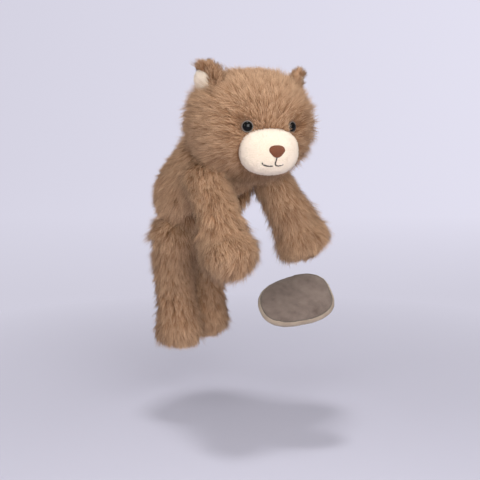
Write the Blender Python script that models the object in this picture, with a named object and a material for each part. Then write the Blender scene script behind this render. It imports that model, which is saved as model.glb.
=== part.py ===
"""Floppy plush bear, held up by its back, with the warming pad out of its belly pocket.

Metres, +Z up. The bear faces -Y and its left is +X. The origin is the point on its back by which it is held.
Plush is modelled with its pile pressed flat. Each sewn-on piece hangs from an empty at its joint.
"""

import math

import bmesh
import bpy
from mathutils import Matrix, Vector

# Gaps and cloths
SEAM_GAP = 0.0004
LAYER_GAP = 0.0003
PLUSH_THICKNESS = 0.0045
MUZZLE_CLOTH_THICKNESS = 0.003
POCKET_CLOTH_THICKNESS = 0.0012
PAD_CLOTH_THICKNESS = 0.0014

# Joints, measured from the middle of the line between the shoulders
ARM_JOINT = Vector((0.0430, 0.0120, 0.0080))
LEG_JOINT = Vector((0.0250, 0.0740, -0.0565))
HEAD_CENTRE = Vector((0.0, -0.0050, 0.0600))
HEAD_TURN = math.radians(-23.5)
FACE_ROLL = math.radians(3)

# Torso, lengthwise from rump to neck along its pitched axis
TORSO_CENTRE = Vector((0.0, 0.0465, 0.0045))
TORSO_PITCH = math.radians(45)
TORSO_LENGTH = 0.134
TORSO_WIDTH = 0.090
TORSO_DEPTH = 0.072
TORSO_TAPER = 0.08
TORSO_FULLNESS = 3.0

# The origin is the middle of the torso's back, and this is where the shoulders lie from it
SHOULDERS = -TORSO_CENTRE - Vector((0, math.cos(TORSO_PITCH), math.sin(TORSO_PITCH))) * TORSO_DEPTH / 2

# Head and what is sewn on it, in the head's own frame with the face towards -Y
HEAD_WIDTH = 0.110
HEAD_TALLNESS = 0.098
CHEEK_FULLNESS = 0.05
MUZZLE_HOLE_RADIUS = 0.013
MUZZLE_WIDTH = 0.060
MUZZLE_DEPTH = 0.042
MUZZLE_TALLNESS = 0.045
MUZZLE_FORWARD = 0.0505
MUZZLE_DROP = 0.0225
NOSE_WIDTH = 0.0195
NOSE_TALLNESS = 0.012
NOSE_THICKNESS = 0.0022
NOSE_DROP = 0.0205
NOSE_MIDDLE_SHARE = 0.72
THREAD_RADIUS = 0.0006
MOUTH_DROP = 0.0340
MOUTH_WIDTH = 0.0210
MOUTH_CURL = 0.0035
EYE_WIDTH = 0.010
EYE_DOME = 0.0034
EYE_AZIMUTH = math.radians(25)
EYE_HEIGHT = 0.001
SHANK_RADIUS = 0.0014
SHANK_LENGTH = 0.0112
WASHER_RADIUS = 0.0065
WASHER_THICKNESS = 0.0014
WASHER_DEPTH = 0.0076
EAR_WIDTH = 0.029
EAR_TALLNESS = 0.034
EAR_THICKNESS = 0.011
EAR_LINING_WIDTH = 0.021
EAR_LINING_TALLNESS = 0.023
EAR_LINING_THICKNESS = 0.005
EAR_HALF_SPAN = 0.046
EAR_FORWARD = 0.003
EAR_TURN = math.radians(63)
EAR_HEIGHT_SHARES = {"right": 0.796, "left": 0.735}
EAR_LEANS = {"right": 20, "left": 18}

# Limbs: each is a ball at its joint, a tube through its bend and a paw or foot at its end
ARM_BALL_RADIUS = 0.0165
ARM_RADIUS = 0.0165
PAW_RADIUS = 0.0208
UPPER_ARM_LENGTH = 0.033
FOREARM_LENGTH = 0.046
LEG_BALL_RADIUS = 0.0180
LEG_RADIUS = 0.0168
FOOT_RADIUS = 0.0178
THIGH_LENGTH = 0.040
SHIN_LENGTH = 0.055
LIMB_HOLE_RADIUS = 0.006

# The way from each joint into the torso, for the left side
ARM_SEAM = Vector((-0.70, 0.52, 0.52))
LEG_SEAM = Vector((-0.38, -0.38, 0.84))

# How the limbs lie: each part's lean forward and its splay outward, in degrees
ARM_LEANS = {"right": (34, 34), "left": (30, 22)}
ARM_SPLAYS = {"right": (9, 11), "left": (13, 17)}
LEG_LEANS = {"right": (-4, 6), "left": (-9, -1)}
LEG_SPLAYS = {"right": (0, 0), "left": (0, 0)}

# Pad, an egg-shaped cushion that lies tilted where it has come out
PAD_LENGTH = 0.076
PAD_WIDTH = 0.056
PAD_THICKNESS = 0.0132
PAD_EGG = 0.10
PAD_SQUARENESS = 3.2
PAD_BAND_WIDTH = 0.0065
PAD_BASE_CUT = 0.0006
PAD_PLACE = Vector((0.0, -0.0675, -0.1095))
PAD_FACING = math.radians(47)
PAD_TILT = math.radians(44)
PAD_SPIN = math.radians(17)

# Pocket, which the pad enters edge first
POCKET_CENTRE = Vector((-0.0015, 0.0465, 0.0003))
POCKET_REACH = 0.060
POCKET_SIDE_CLEARANCE = 0.0012
POCKET_HEADROOM = 0.0027
POCKET_EDGE_INSET = 0.0010
TAPE_LENGTH = 0.028
TAPE_WIDTH = 0.008
TAPE_THICKNESS = 0.0009
TAPE_FROM_WALL = 0.0011
TAPE_FROM_CENTRE = 0.0200

# Facets: the segments and rings of a ball
OUTER = (28, 12)
INNER = (18, 8)
SMALL = (14, 6)
JOINT_BALL = (18, 8)
PAD_FACETS = (24, 8)

SIDES = {"right": -1, "left": 1}

parts = None
cutters = None


def start_scene():
    """Empties the scene and makes the two collections."""
    global parts, cutters
    for obj in list(bpy.data.objects):
        bpy.data.objects.remove(obj)
    parts = bpy.data.collections.new("plush_bear")
    cutters = bpy.data.collections.new("cutters")
    bpy.context.scene.collection.children.link(parts)
    bpy.context.scene.collection.children.link(cutters)


def material(name, colour, roughness):
    made = bpy.data.materials.new(name)
    made.use_nodes = True
    shader = made.node_tree.nodes["Principled BSDF"]
    shader.inputs["Base Color"].default_value = (*colour, 1.0)
    shader.inputs["Roughness"].default_value = roughness
    shader.inputs["Metallic"].default_value = 0.0
    return made


def empty(name, parent=None, matrix=None):
    """An empty that carries pieces, placed in its parent's frame."""
    made = bpy.data.objects.new(name, None)
    parts.objects.link(made)
    made.parent = parent
    made.matrix_basis = matrix or Matrix()
    return made


def place(obj, parent, finish=None):
    """Puts a piece in the object's collection, or a cutter, which has no finish, in the other."""
    obj.parent = parent
    if finish is None:
        cutters.objects.link(obj)
        obj.hide_render = True
        obj.display_type = "WIRE"
        return obj
    parts.objects.link(obj)
    obj.data.materials.clear()
    obj.data.materials.append(finish)
    obj.data.shade_smooth()
    return obj


def boolean(obj, other, operation="DIFFERENCE"):
    step = obj.modifiers.new(f"{operation.lower()}_{other.name}", "BOOLEAN")
    step.operation = operation
    step.object = other
    step.solver = "EXACT"
    return obj


def mesh_object(name, bm):
    bm.normal_update()
    bmesh.ops.recalc_face_normals(bm, faces=bm.faces)
    mesh = bpy.data.meshes.new(name)
    bm.to_mesh(mesh)
    bm.free()
    return bpy.data.objects.new(name, mesh)


def swollen(name, shape, facets=INNER):
    """A ball whose points are moved by shape, a function of a point on the unit ball."""
    bm = bmesh.new()
    bmesh.ops.create_uvsphere(bm, u_segments=facets[0], v_segments=facets[1], radius=1.0)
    for vertex in bm.verts:
        vertex.co = shape(vertex.co.copy())
    return mesh_object(name, bm)


def ellipsoid(name, semi_axes, centre=Vector(), facets=SMALL):
    return swollen(name, lambda p: Vector(a * b for a, b in zip(p, semi_axes)) + centre, facets)


def joint_ball(name, radius, centre, facets=JOINT_BALL):
    """A ball with its poles on the hinge, which lies along X."""
    return swollen(name, lambda p: Vector((p.z, p.x, p.y)) * radius + centre, facets)


def cylinder(name, radius, start, end, segments=12):
    """A cylinder from one point to another."""
    run = end - start
    turn = Vector((0, 0, 1)).rotation_difference(run).to_matrix().to_4x4()
    bm = bmesh.new()
    bmesh.ops.create_cone(
        bm,
        cap_ends=True,
        segments=segments,
        radius1=radius,
        radius2=radius,
        depth=run.length,
        matrix=Matrix.Translation((start + end) / 2) @ turn,
    )
    return mesh_object(name, bm)


def block(name, size, centre):
    bm = bmesh.new()
    bmesh.ops.create_cube(bm, size=1.0, matrix=Matrix.Translation(centre) @ Matrix.Diagonal((*size, 1.0)))
    return mesh_object(name, bm)


def tube(name, stations, resolution=3, bevel=2):
    """A round tube through stations, each a point and the radius there, as a mesh."""
    curve = bpy.data.curves.new(name, "CURVE")
    curve.dimensions = "3D"
    curve.resolution_u = resolution
    curve.bevel_depth = 1.0
    curve.bevel_resolution = bevel
    curve.use_fill_caps = True
    spline = curve.splines.new("BEZIER")
    spline.bezier_points.add(len(stations) - 1)
    for knot, (point, radius) in zip(spline.bezier_points, stations):
        knot.co = point
        knot.radius = radius
        knot.handle_left_type = knot.handle_right_type = "AUTO"
    carrier = bpy.data.objects.new(name, curve)
    cutters.objects.link(carrier)
    graph = bpy.context.evaluated_depsgraph_get()
    mesh = bpy.data.meshes.new_from_object(carrier.evaluated_get(graph))
    bpy.data.objects.remove(carrier)
    bm = bmesh.new()
    bm.from_mesh(mesh)
    bmesh.ops.remove_doubles(bm, verts=bm.verts, dist=1e-6)
    return mesh_object(name, bm)


def swept(name, obj, travel):
    """The space that a convex piece sweeps as it is carried along travel."""
    bm = bmesh.new()
    bm.from_mesh(obj.data)
    points = [v.co.copy() for v in bm.verts]
    bm.clear()
    for point in points:
        bm.verts.new(point)
        bm.verts.new(point + travel)
    hull = bmesh.ops.convex_hull(bm, input=bm.verts)
    spare = set(hull["geom_interior"]) | set(hull["geom_unused"])
    bmesh.ops.delete(bm, geom=list(spare), context="VERTS")
    bpy.data.objects.remove(obj)
    return mesh_object(name, bm)


def torso_form(name, inset=0.0, facets=INNER):
    """The torso's swelling body, smaller all round by inset, in the shoulders' frame."""
    place_in_frame = Matrix.Translation(TORSO_CENTRE) @ Matrix.Rotation(TORSO_PITCH, 4, "X")

    def shape(p):
        girth = math.hypot(p.x, p.y)
        full = math.sqrt(max(0.0, 1 - abs(p.z) ** TORSO_FULLNESS)) / girth if girth > 1e-6 else 0.0
        full *= 1 - TORSO_TAPER * p.z
        return place_in_frame @ Vector((
            p.x * full * (TORSO_WIDTH / 2 - inset),
            p.y * full * (TORSO_DEPTH / 2 - inset),
            p.z * (TORSO_LENGTH / 2 - inset),
        ))

    return swollen(name, shape, facets)


def head_form(name, inset=0.0, facets=OUTER):
    """The head's round body, a turned shape about the neck's axis, in the head's frame."""

    def shape(p):
        round_about = (HEAD_WIDTH / 2 - inset) * (1 - CHEEK_FULLNESS * p.z)
        return Vector((p.x * round_about, p.y * round_about, p.z * (HEAD_TALLNESS / 2 - inset)))

    return swollen(name, shape, facets)


def head_radius_at(height):
    """The head's radius about its axis at a height over its centre."""
    share = height / (HEAD_TALLNESS / 2)
    return HEAD_WIDTH / 2 * (1 - CHEEK_FULLNESS * share) * math.sqrt(1 - share * share)


def muzzle_form(name, inset=0.0, facets=INNER):
    semi_axes = Vector((MUZZLE_WIDTH, MUZZLE_DEPTH, MUZZLE_TALLNESS)) / 2 - Vector((inset, inset, inset))
    return ellipsoid(name, semi_axes, Vector((0.0, -MUZZLE_FORWARD, -MUZZLE_DROP)), facets)


def muzzle_front(across, height):
    """The point of the muzzle's front that lies across from its middle, at a height over the head's centre."""
    side = across / (MUZZLE_WIDTH / 2)
    rise = (height + MUZZLE_DROP) / (MUZZLE_TALLNESS / 2)
    forward = MUZZLE_FORWARD + MUZZLE_DEPTH / 2 * math.sqrt(1 - side * side - rise * rise)
    return Vector((across, -forward, height))


def pad_form(name, side_inset=0.0, face_inset=0.0, facets=PAD_FACETS):
    """The pad's cushion in its own frame: length along X, width along Y, top face up."""
    power = 2 / PAD_SQUARENESS

    def shape(p):
        girth = math.hypot(p.x, p.y)
        along, across = (p.x / girth, p.y / girth) if girth > 1e-6 else (0.0, 0.0)
        out = girth**power
        return Vector((
            along * out * (PAD_LENGTH / 2 - side_inset),
            across * out * (PAD_WIDTH / 2 - side_inset) * (1 + PAD_EGG * along),
            math.copysign(abs(p.z) ** power, p.z) * (PAD_THICKNESS / 2 - face_inset),
        ))

    return swollen(name, shape, facets)


def pad_turn():
    """The pad's turn where it lies: its top faces up and towards PAD_FACING, spun about that."""
    facing = Vector((-math.sin(PAD_FACING), -math.cos(PAD_FACING), 0.0))
    across = Vector((math.cos(PAD_FACING), -math.sin(PAD_FACING), 0.0))
    top = facing * math.sin(PAD_TILT) + Vector((0, 0, 1)) * math.cos(PAD_TILT)
    level = Matrix((across, top.cross(across), top)).transposed().to_4x4()
    return level @ Matrix.Rotation(PAD_SPIN, 4, "Z")


def limb_stations(lengths, leans, splays, side, radii):
    """Points from the joint through the bend to the end, each with the limb's radius there."""
    point = Vector()
    stations = [(point.copy(), radii[0])]
    for length, lean, splay, radius in zip(lengths, leans, splays, radii[1:]):
        lean, splay = math.radians(lean), math.radians(splay)
        ahead = Vector((0.0, -math.sin(lean), -math.cos(lean))) * math.cos(splay)
        point = point + (ahead + Vector((side * math.sin(splay), 0.0, 0.0))) * length
        stations.append((point.copy(), radius))
    return stations


def limb_form(name, parent, stations, ball_radius, end_radius, inset=0.0, finish=None):
    """Ball, tube and rounded end in one, smaller all round by inset and then plainer."""
    facets, resolution, bevel = (JOINT_BALL, 3, 2) if inset == 0 else (SMALL, 2, 1)
    form = tube(name, [(point, radius - inset) for point, radius in stations], resolution, bevel)
    place(form, parent, finish)
    for label, radius, (point, _) in (("ball", ball_radius, stations[0]), ("end", end_radius, stations[-1])):
        rounding = joint_ball(f"{name}_{label}", radius - inset, point, facets)
        boolean(form, place(rounding, parent), "UNION")
    return form


def on_side(side, point):
    """A point or a way of the left side as the given side has it."""
    return Vector((side * point.x, point.y, point.z))


def make_limb(kind, side_name, joint, seam, lengths, poses, radii, ball_radius, end_radius, finishes):
    """One arm or leg: its plush cover, open where it is sewn on, and its stuffing."""
    side = SIDES[side_name]
    hinge = empty(f"{kind}_{side_name}_joint", shoulders(), Matrix.Translation(on_side(side, joint)))
    stations = limb_stations(lengths, *poses, side, radii)
    name = f"{kind}_{side_name}"
    cover = limb_form(f"{name}_cover", hinge, stations, ball_radius, end_radius, finish=finishes["plush"])
    hollow = limb_form(f"{name}_hollow", hinge, stations, ball_radius, end_radius, PLUSH_THICKNESS)
    boolean(cover, hollow)
    way_out = on_side(side, seam).normalized() * ball_radius * 1.2
    boolean(cover, place(cylinder(f"{name}_hole", LIMB_HOLE_RADIUS, Vector(), way_out), hinge))
    limb_form(
        f"{name}_stuffing",
        hinge,
        stations,
        ball_radius,
        end_radius,
        PLUSH_THICKNESS + LAYER_GAP,
        finishes["stuffing"],
    )
    return hinge


def shoulders():
    return bpy.data.objects["shoulders"]


def torso_openings(head_frame):
    """What the torso's layers are cut by: the head and the four limbs."""
    found = [place(head_form("head_seat", -SEAM_GAP), head_frame)]
    for kind, joint, radius in (("arm", ARM_JOINT, ARM_BALL_RADIUS), ("leg", LEG_JOINT, LEG_BALL_RADIUS)):
        for side_name, side in SIDES.items():
            socket = joint_ball(f"{kind}_{side_name}_socket", radius + SEAM_GAP, on_side(side, joint))
            found.append(place(socket, shoulders()))
    return found


def roomy_pad(name, extra):
    return pad_form(name, -POCKET_SIDE_CLEARANCE - extra, -POCKET_HEADROOM - extra)


def pocket_space(name, extra, reach):
    """The space that the pad needs in the pocket, larger all round by extra, out to reach."""
    return swept(name, roomy_pad(f"{name}_pad", extra), way_out_of_pocket() * reach)


def way_out_of_pocket():
    """The way the pad slides out, as the pad's own frame has it."""
    return (pad_turn().inverted().to_3x3() @ (PAD_PLACE - POCKET_CENTRE)).normalized()


def make_torso(head_frame, finishes):
    cover = place(torso_form("torso_cover", facets=OUTER), shoulders(), finishes["plush"])
    boolean(cover, place(torso_form("torso_hollow", PLUSH_THICKNESS), shoulders()))
    stuffing = place(
        torso_form("torso_stuffing", PLUSH_THICKNESS + LAYER_GAP), shoulders(), finishes["stuffing"]
    )
    pocket_frame = empty("pocket_frame", shoulders(), Matrix.Translation(POCKET_CENTRE) @ pad_turn())
    room = place(pocket_space("pocket_room", POCKET_CLOTH_THICKNESS + LAYER_GAP, POCKET_REACH), pocket_frame)
    boolean(cover, room)
    boolean(stuffing, room)
    lining = pocket_space("pocket_lining", POCKET_CLOTH_THICKNESS, POCKET_REACH)
    place(lining, pocket_frame, finishes["lining"])
    boolean(lining, place(pocket_space("pocket_inside", 0.0, POCKET_REACH * 1.2), pocket_frame))
    boolean(lining, place(torso_form("pocket_mouth", POCKET_EDGE_INSET), shoulders()), "INTERSECT")
    for opening in torso_openings(head_frame):
        for piece in (cover, stuffing, lining):
            boolean(piece, opening)
    make_closure(pocket_frame, finishes)


def make_closure(pocket_frame, finishes):
    """The hook tape on the upper wall inside the pocket's mouth and the loop tape on the lower one."""
    out = way_out_of_pocket()
    across = out.cross(Vector((0, 0, 1))).normalized()
    turn = Matrix((across, out, across.cross(out))).transposed().to_4x4()
    inside = roomy_pad("pocket_walls", 0.0)
    heights = [vertex.co.dot(across.cross(out)) for vertex in inside.data.vertices]
    bpy.data.objects.remove(inside)
    from_wall = TAPE_FROM_WALL + TAPE_THICKNESS / 2
    for name, rise in (("hook_tape", max(heights) - from_wall), ("loop_tape", min(heights) + from_wall)):
        tape = block(name, (TAPE_LENGTH, TAPE_WIDTH, TAPE_THICKNESS), Vector((0, TAPE_FROM_CENTRE, rise)))
        tape.data.transform(turn)
        place(tape, pocket_frame, finishes[name])


def make_head(frame, finishes):
    cover = place(head_form("head_cover"), frame, finishes["plush"])
    boolean(cover, place(head_form("head_hollow", PLUSH_THICKNESS, INNER), frame))
    filling = head_form("head_stuffing", PLUSH_THICKNESS + LAYER_GAP, INNER)
    stuffing = place(filling, frame, finishes["stuffing"])
    seat = place(head_form("face_seat", -LAYER_GAP), frame)
    face = empty("face", frame, Matrix.Rotation(FACE_ROLL, 4, "Y"))
    inside, outside = Vector((0, 0, -MUZZLE_DROP)), Vector((0, -HEAD_WIDTH, -MUZZLE_DROP))
    boolean(cover, place(cylinder("muzzle_hole", MUZZLE_HOLE_RADIUS, inside, outside), face))
    for side_name, side in SIDES.items():
        make_eye(side_name, side, face, seat, (cover, stuffing), finishes)
        make_ear(side_name, side, face, seat, finishes)
    make_muzzle(face, seat, finishes)


def make_eye(side_name, side, face, seat, head_pieces, finishes):
    """A dome on the head cover, its shank through the cloth and the washer that locks it inside."""
    out = Vector((side * math.sin(EYE_AZIMUTH), -math.cos(EYE_AZIMUTH), 0.0))
    point = out * head_radius_at(EYE_HEIGHT) + Vector((0, 0, EYE_HEIGHT))
    turn = Matrix.Translation(point) @ Vector((0, 0, 1)).rotation_difference(out).to_matrix().to_4x4()
    eye_frame = empty(f"eye_{side_name}_frame", face, turn)
    head_cover, head_stuffing = head_pieces

    dome = ellipsoid(f"eye_{side_name}", Vector((EYE_WIDTH / 2, EYE_WIDTH / 2, EYE_DOME)))
    place(dome, eye_frame, finishes["eye"])
    boolean(dome, seat)
    shank_end, shank_top = Vector((0, 0, -SHANK_LENGTH)), Vector((0, 0, EYE_DOME / 2))
    shank = cylinder(f"eye_{side_name}_shank", SHANK_RADIUS, shank_end, shank_top)
    boolean(dome, place(shank, eye_frame), "UNION")

    top, bottom = Vector((0, 0, -WASHER_DEPTH)), Vector((0, 0, -WASHER_DEPTH - WASHER_THICKNESS))
    washer = cylinder(f"eye_washer_{side_name}", WASHER_RADIUS, bottom, top)
    place(washer, eye_frame, finishes["washer"])
    bore = cylinder(
        f"eye_{side_name}_bore",
        SHANK_RADIUS + LAYER_GAP,
        Vector((0, 0, -SHANK_LENGTH - LAYER_GAP)),
        Vector((0, 0, EYE_DOME)),
    )
    place(bore, eye_frame)
    boolean(washer, bore)
    boolean(head_cover, bore)
    boolean(head_stuffing, bore)
    recess = cylinder(
        f"eye_{side_name}_washer_recess",
        WASHER_RADIUS + LAYER_GAP,
        bottom - Vector((0, 0, LAYER_GAP)),
        Vector((0, 0, EYE_DOME)),
    )
    boolean(head_stuffing, place(recess, eye_frame))


def make_ear(side_name, side, face, seat, finishes):
    """A thick plush back cut to the head, with a cream lining let into its front."""
    lean = math.radians(EAR_LEANS[side_name])
    height = HEAD_TALLNESS / 2 * EAR_HEIGHT_SHARES[side_name]
    turn = (
        Matrix.Translation(Vector((side * EAR_HALF_SPAN, -EAR_FORWARD, height)))
        @ Matrix.Rotation(side * lean, 4, "Y")
        @ Matrix.Rotation(side * EAR_TURN, 4, "Z")
    )
    ear_frame = empty(f"ear_{side_name}_frame", face, turn)
    back = ellipsoid(f"ear_{side_name}", Vector((EAR_WIDTH, EAR_THICKNESS, EAR_TALLNESS)) / 2)
    place(back, ear_frame, finishes["plush"])
    front = Vector((0.0, -EAR_THICKNESS / 2 + EAR_LINING_THICKNESS / 4, EAR_TALLNESS / 10))
    size = Vector((EAR_LINING_WIDTH, EAR_LINING_THICKNESS, EAR_LINING_TALLNESS)) / 2
    room = size + Vector((LAYER_GAP, LAYER_GAP, LAYER_GAP))
    boolean(back, place(ellipsoid(f"ear_{side_name}_recess", room, front), ear_frame))
    lining = place(ellipsoid(f"ear_lining_{side_name}", size, front), ear_frame, finishes["cream"])
    boolean(back, seat)
    boolean(lining, seat)


def make_muzzle(face, seat, finishes):
    """The muzzle's cover and stuffing on the head, with the sewn nose and mouth on its front."""
    cover = place(muzzle_form("muzzle_cover"), face, finishes["cream"])
    boolean(cover, place(muzzle_form("muzzle_hollow", MUZZLE_CLOTH_THICKNESS), face))
    boolean(cover, seat)
    filling = muzzle_form("muzzle_stuffing", MUZZLE_CLOTH_THICKNESS + LAYER_GAP)
    boolean(place(filling, face, finishes["stuffing"]), seat)

    clear = place(muzzle_form("muzzle_clear", -LAYER_GAP), face)
    make_nose(face, clear, finishes)
    middle = muzzle_front(0.0, -MOUTH_DROP)
    lift = Vector((0.0, -THREAD_RADIUS - LAYER_GAP, 0.0))
    smile = []
    for step in range(-3, 4):
        share = step / 3
        height = -MOUTH_DROP + MOUTH_CURL * (share * share - abs(math.sin(math.pi * share)) / 2)
        smile.append((muzzle_front(share * MOUTH_WIDTH / 2, height) + lift, THREAD_RADIUS))
    mouth = place(tube("mouth_stitching", smile, resolution=1, bevel=1), face, finishes["thread"])
    top = muzzle_front(0.0, -NOSE_DROP - NOSE_TALLNESS / 2 - LAYER_GAP)
    stations = [(p + lift, THREAD_RADIUS * 0.9) for p in (top, (top + middle) / 2, middle)]
    line = tube("mouth_line", stations, resolution=1, bevel=1)
    boolean(mouth, place(line, face), "UNION")
    boolean(mouth, clear)


def make_nose(face, muzzle_clear, finishes):
    """A rounded triangle, wide at the top, that lies on the muzzle's front."""
    centre = muzzle_front(0.0, -NOSE_DROP)

    def shape(p):
        narrowing = NOSE_MIDDLE_SHARE + (1 - NOSE_MIDDLE_SHARE) * p.z
        return centre + Vector((
            p.x * narrowing * NOSE_WIDTH / 2,
            p.y * NOSE_THICKNESS * 1.6,
            p.z * NOSE_TALLNESS / 2,
        ))

    nose = place(swollen("nose", shape, SMALL), face, finishes["nose"])
    boolean(nose, muzzle_clear)


def make_pad(frame, finishes):
    """Upper and lower covers with a side band between them, round a filling."""
    half_band = PAD_BAND_WIDTH / 2
    room = max(PAD_LENGTH, PAD_WIDTH) * 2
    base = -PAD_THICKNESS / 2 + PAD_BASE_CUT

    def slab(name, low, high):
        return place(block(name, (room, room, high - low), Vector((0, 0, (low + high) / 2))), frame)

    hollow = place(pad_form("pad_hollow", PAD_CLOTH_THICKNESS, PAD_CLOTH_THICKNESS), frame)
    top = place(pad_form("pad_top_cover"), frame, finishes["velour"])
    band = place(pad_form("pad_side_band"), frame, finishes["band"])
    bottom = place(pad_form("pad_bottom_cover"), frame, finishes["velour"])
    for piece in (top, band, bottom):
        boolean(piece, hollow)
    boolean(top, slab("under_top", -room, half_band + LAYER_GAP / 2))
    boolean(band, slab("over_band", half_band - LAYER_GAP / 2, room))
    boolean(band, slab("under_band", -room, -half_band + LAYER_GAP / 2))
    boolean(bottom, slab("over_bottom", -half_band - LAYER_GAP / 2, room))
    boolean(bottom, slab("pad_base", -room, base))
    inset = PAD_CLOTH_THICKNESS + LAYER_GAP
    place(pad_form("pad_filling", inset, inset), frame, finishes["seeds"])


def main():
    start_scene()
    finishes = {
        "plush": material("long_pile_plush", (0.33, 0.20, 0.13), 0.9),
        "cream": material("cream_plush", (0.85, 0.78, 0.62), 0.9),
        "stuffing": material("white_stuffing", (0.9, 0.9, 0.9), 0.95),
        "lining": material("brown_lining", (0.30, 0.20, 0.14), 0.8),
        "hook_tape": material("hook_tape", (0.20, 0.15, 0.12), 0.6),
        "loop_tape": material("loop_tape", (0.25, 0.18, 0.14), 0.8),
        "eye": material("black_eye", (0.01, 0.01, 0.01), 0.1),
        "washer": material("white_washer", (0.8, 0.8, 0.8), 0.4),
        "nose": material("terracotta_thread", (0.30, 0.10, 0.05), 0.7),
        "thread": material("dark_thread", (0.10, 0.07, 0.06), 0.7),
        "velour": material("grey_velour", (0.24, 0.20, 0.17), 0.9),
        "band": material("beige_velour", (0.40, 0.33, 0.26), 0.9),
        "seeds": material("seed_filling", (0.45, 0.33, 0.18), 0.8),
    }
    frame = empty("shoulders", None, Matrix.Translation(SHOULDERS))
    head_frame = empty("head_joint", frame, Matrix.Translation(HEAD_CENTRE) @ Matrix.Rotation(HEAD_TURN, 4, "Z"))
    pad_frame = empty("pad_slide", frame, Matrix.Translation(PAD_PLACE) @ pad_turn())

    make_torso(head_frame, finishes)
    make_head(head_frame, finishes)
    for side_name in SIDES:
        make_limb(
            "arm",
            side_name,
            ARM_JOINT,
            ARM_SEAM,
            (UPPER_ARM_LENGTH, FOREARM_LENGTH),
            (ARM_LEANS[side_name], ARM_SPLAYS[side_name]),
            (ARM_RADIUS * 0.97, ARM_RADIUS, ARM_RADIUS),
            ARM_BALL_RADIUS,
            PAW_RADIUS,
            finishes,
        )
        make_limb(
            "leg",
            side_name,
            LEG_JOINT,
            LEG_SEAM,
            (THIGH_LENGTH, SHIN_LENGTH),
            (LEG_LEANS[side_name], LEG_SPLAYS[side_name]),
            (LEG_RADIUS * 0.97, LEG_RADIUS, LEG_RADIUS),
            LEG_BALL_RADIUS,
            FOOT_RADIUS,
            finishes,
        )
    make_pad(pad_frame, finishes)


if __name__ == "__main__":
    main()
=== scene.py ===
"""Dresses the floppy plush bear: stuffed forms, long pile, face, pocket and warming pad.

Metres, +Z up, in the frame of the solids: the bear faces -Y, its left is +X, and the origin
is the point on its back by which it is held.
"""

from __future__ import annotations

import logging
import math
from dataclasses import dataclass, replace
from enum import Enum
from typing import Callable, ClassVar, Sequence

import bpy
import numpy as np
from mathutils import Matrix, Vector
from mathutils.bvhtree import BVHTree
from mathutils.kdtree import KDTree


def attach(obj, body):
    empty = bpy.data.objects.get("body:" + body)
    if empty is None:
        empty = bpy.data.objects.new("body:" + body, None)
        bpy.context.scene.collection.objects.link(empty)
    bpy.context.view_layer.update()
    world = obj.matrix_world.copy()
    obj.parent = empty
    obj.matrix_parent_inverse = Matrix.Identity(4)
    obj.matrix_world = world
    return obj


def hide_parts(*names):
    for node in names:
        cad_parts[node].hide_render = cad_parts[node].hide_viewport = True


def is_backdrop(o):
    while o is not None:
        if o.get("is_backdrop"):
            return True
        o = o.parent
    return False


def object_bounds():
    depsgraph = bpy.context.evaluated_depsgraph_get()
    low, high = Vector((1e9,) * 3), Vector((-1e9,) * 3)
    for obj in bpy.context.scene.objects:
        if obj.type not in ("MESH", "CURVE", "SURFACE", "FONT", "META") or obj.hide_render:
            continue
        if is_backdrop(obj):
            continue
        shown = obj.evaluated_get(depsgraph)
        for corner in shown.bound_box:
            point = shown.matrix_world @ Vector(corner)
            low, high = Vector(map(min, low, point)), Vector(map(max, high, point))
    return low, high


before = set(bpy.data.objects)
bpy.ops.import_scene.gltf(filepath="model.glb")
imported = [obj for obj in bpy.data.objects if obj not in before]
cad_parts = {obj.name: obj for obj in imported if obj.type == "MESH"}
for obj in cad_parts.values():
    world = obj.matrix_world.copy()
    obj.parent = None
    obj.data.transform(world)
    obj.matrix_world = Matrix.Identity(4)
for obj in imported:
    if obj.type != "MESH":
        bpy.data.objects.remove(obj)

log = logging.getLogger("bear")

Colour = tuple[float, float, float]
Box = tuple[np.ndarray, np.ndarray]
Field = Callable[[np.ndarray, np.ndarray], np.ndarray]
Stops = Sequence[tuple[float, Colour]]

BAKE_MAP = "OFBake"

# How far the tips of the pile may pass the box of the solids
PILE_PAST_BOX = (0.0066, 0.0066, 0.0088)

# How many strips of tone the locks' map has
TONE_STRIPS = 48

# How much the length of the long pile varies over a form
UNEVENNESS = 0.10

# How the covers that are blown up by simulation behave as cloth
COVER_CLOTH = {
    "quality": 6,
    "mass": 0.15,
    "tension_stiffness": 12,
    "compression_stiffness": 12,
    "shear_stiffness": 8,
    "bending_stiffness": 0.4,
    "use_pressure": True,
}
COVER_FRAMES = 20

# Where the joints of the solids are
SHOULDERS = Vector((0.0, -0.071956, -0.029956))
HEAD_CENTRE = SHOULDERS + Vector((0.0, -0.0050, 0.0600))
HEAD_TURN = math.radians(-23.5)
FACE_ROLL = math.radians(3)
TORSO_CENTRE = SHOULDERS + Vector((0.0, 0.0465, 0.0045))
ARM_JOINT = Vector((0.0430, 0.0120, 0.0080))
LEG_JOINT = Vector((0.0250, 0.0740, -0.0565))


class Side(Enum):
    """A side of the bear, by the sign of its X."""

    RIGHT = -1
    LEFT = 1

    @property
    def label(self) -> str:
        """The side's name as the pieces have it."""
        return self.name.lower()


class LimbKind(Enum):
    """The two kinds of limb."""

    ARM = "arm"
    LEG = "leg"


# ---------------------------------------------------------------- mesh steps


def choose(*objects: bpy.types.Object) -> None:
    """Selects these objects alone and makes the last one active.

    Args:
        objects: What the next operator acts on.
    """
    bpy.ops.object.select_all(action="DESELECT")
    for obj in objects:
        obj.select_set(True)
        bpy.context.view_layer.objects.active = obj


def linked(name: str, data: bpy.types.ID) -> bpy.types.Object:
    """Makes an object of its data and links it into the scene.

    Args:
        name: The object's name.
        data: Its mesh, curve, camera or lamp.

    Returns:
        The object.
    """
    made = bpy.data.objects.new(name, data)
    bpy.context.scene.collection.objects.link(made)
    return made


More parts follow.
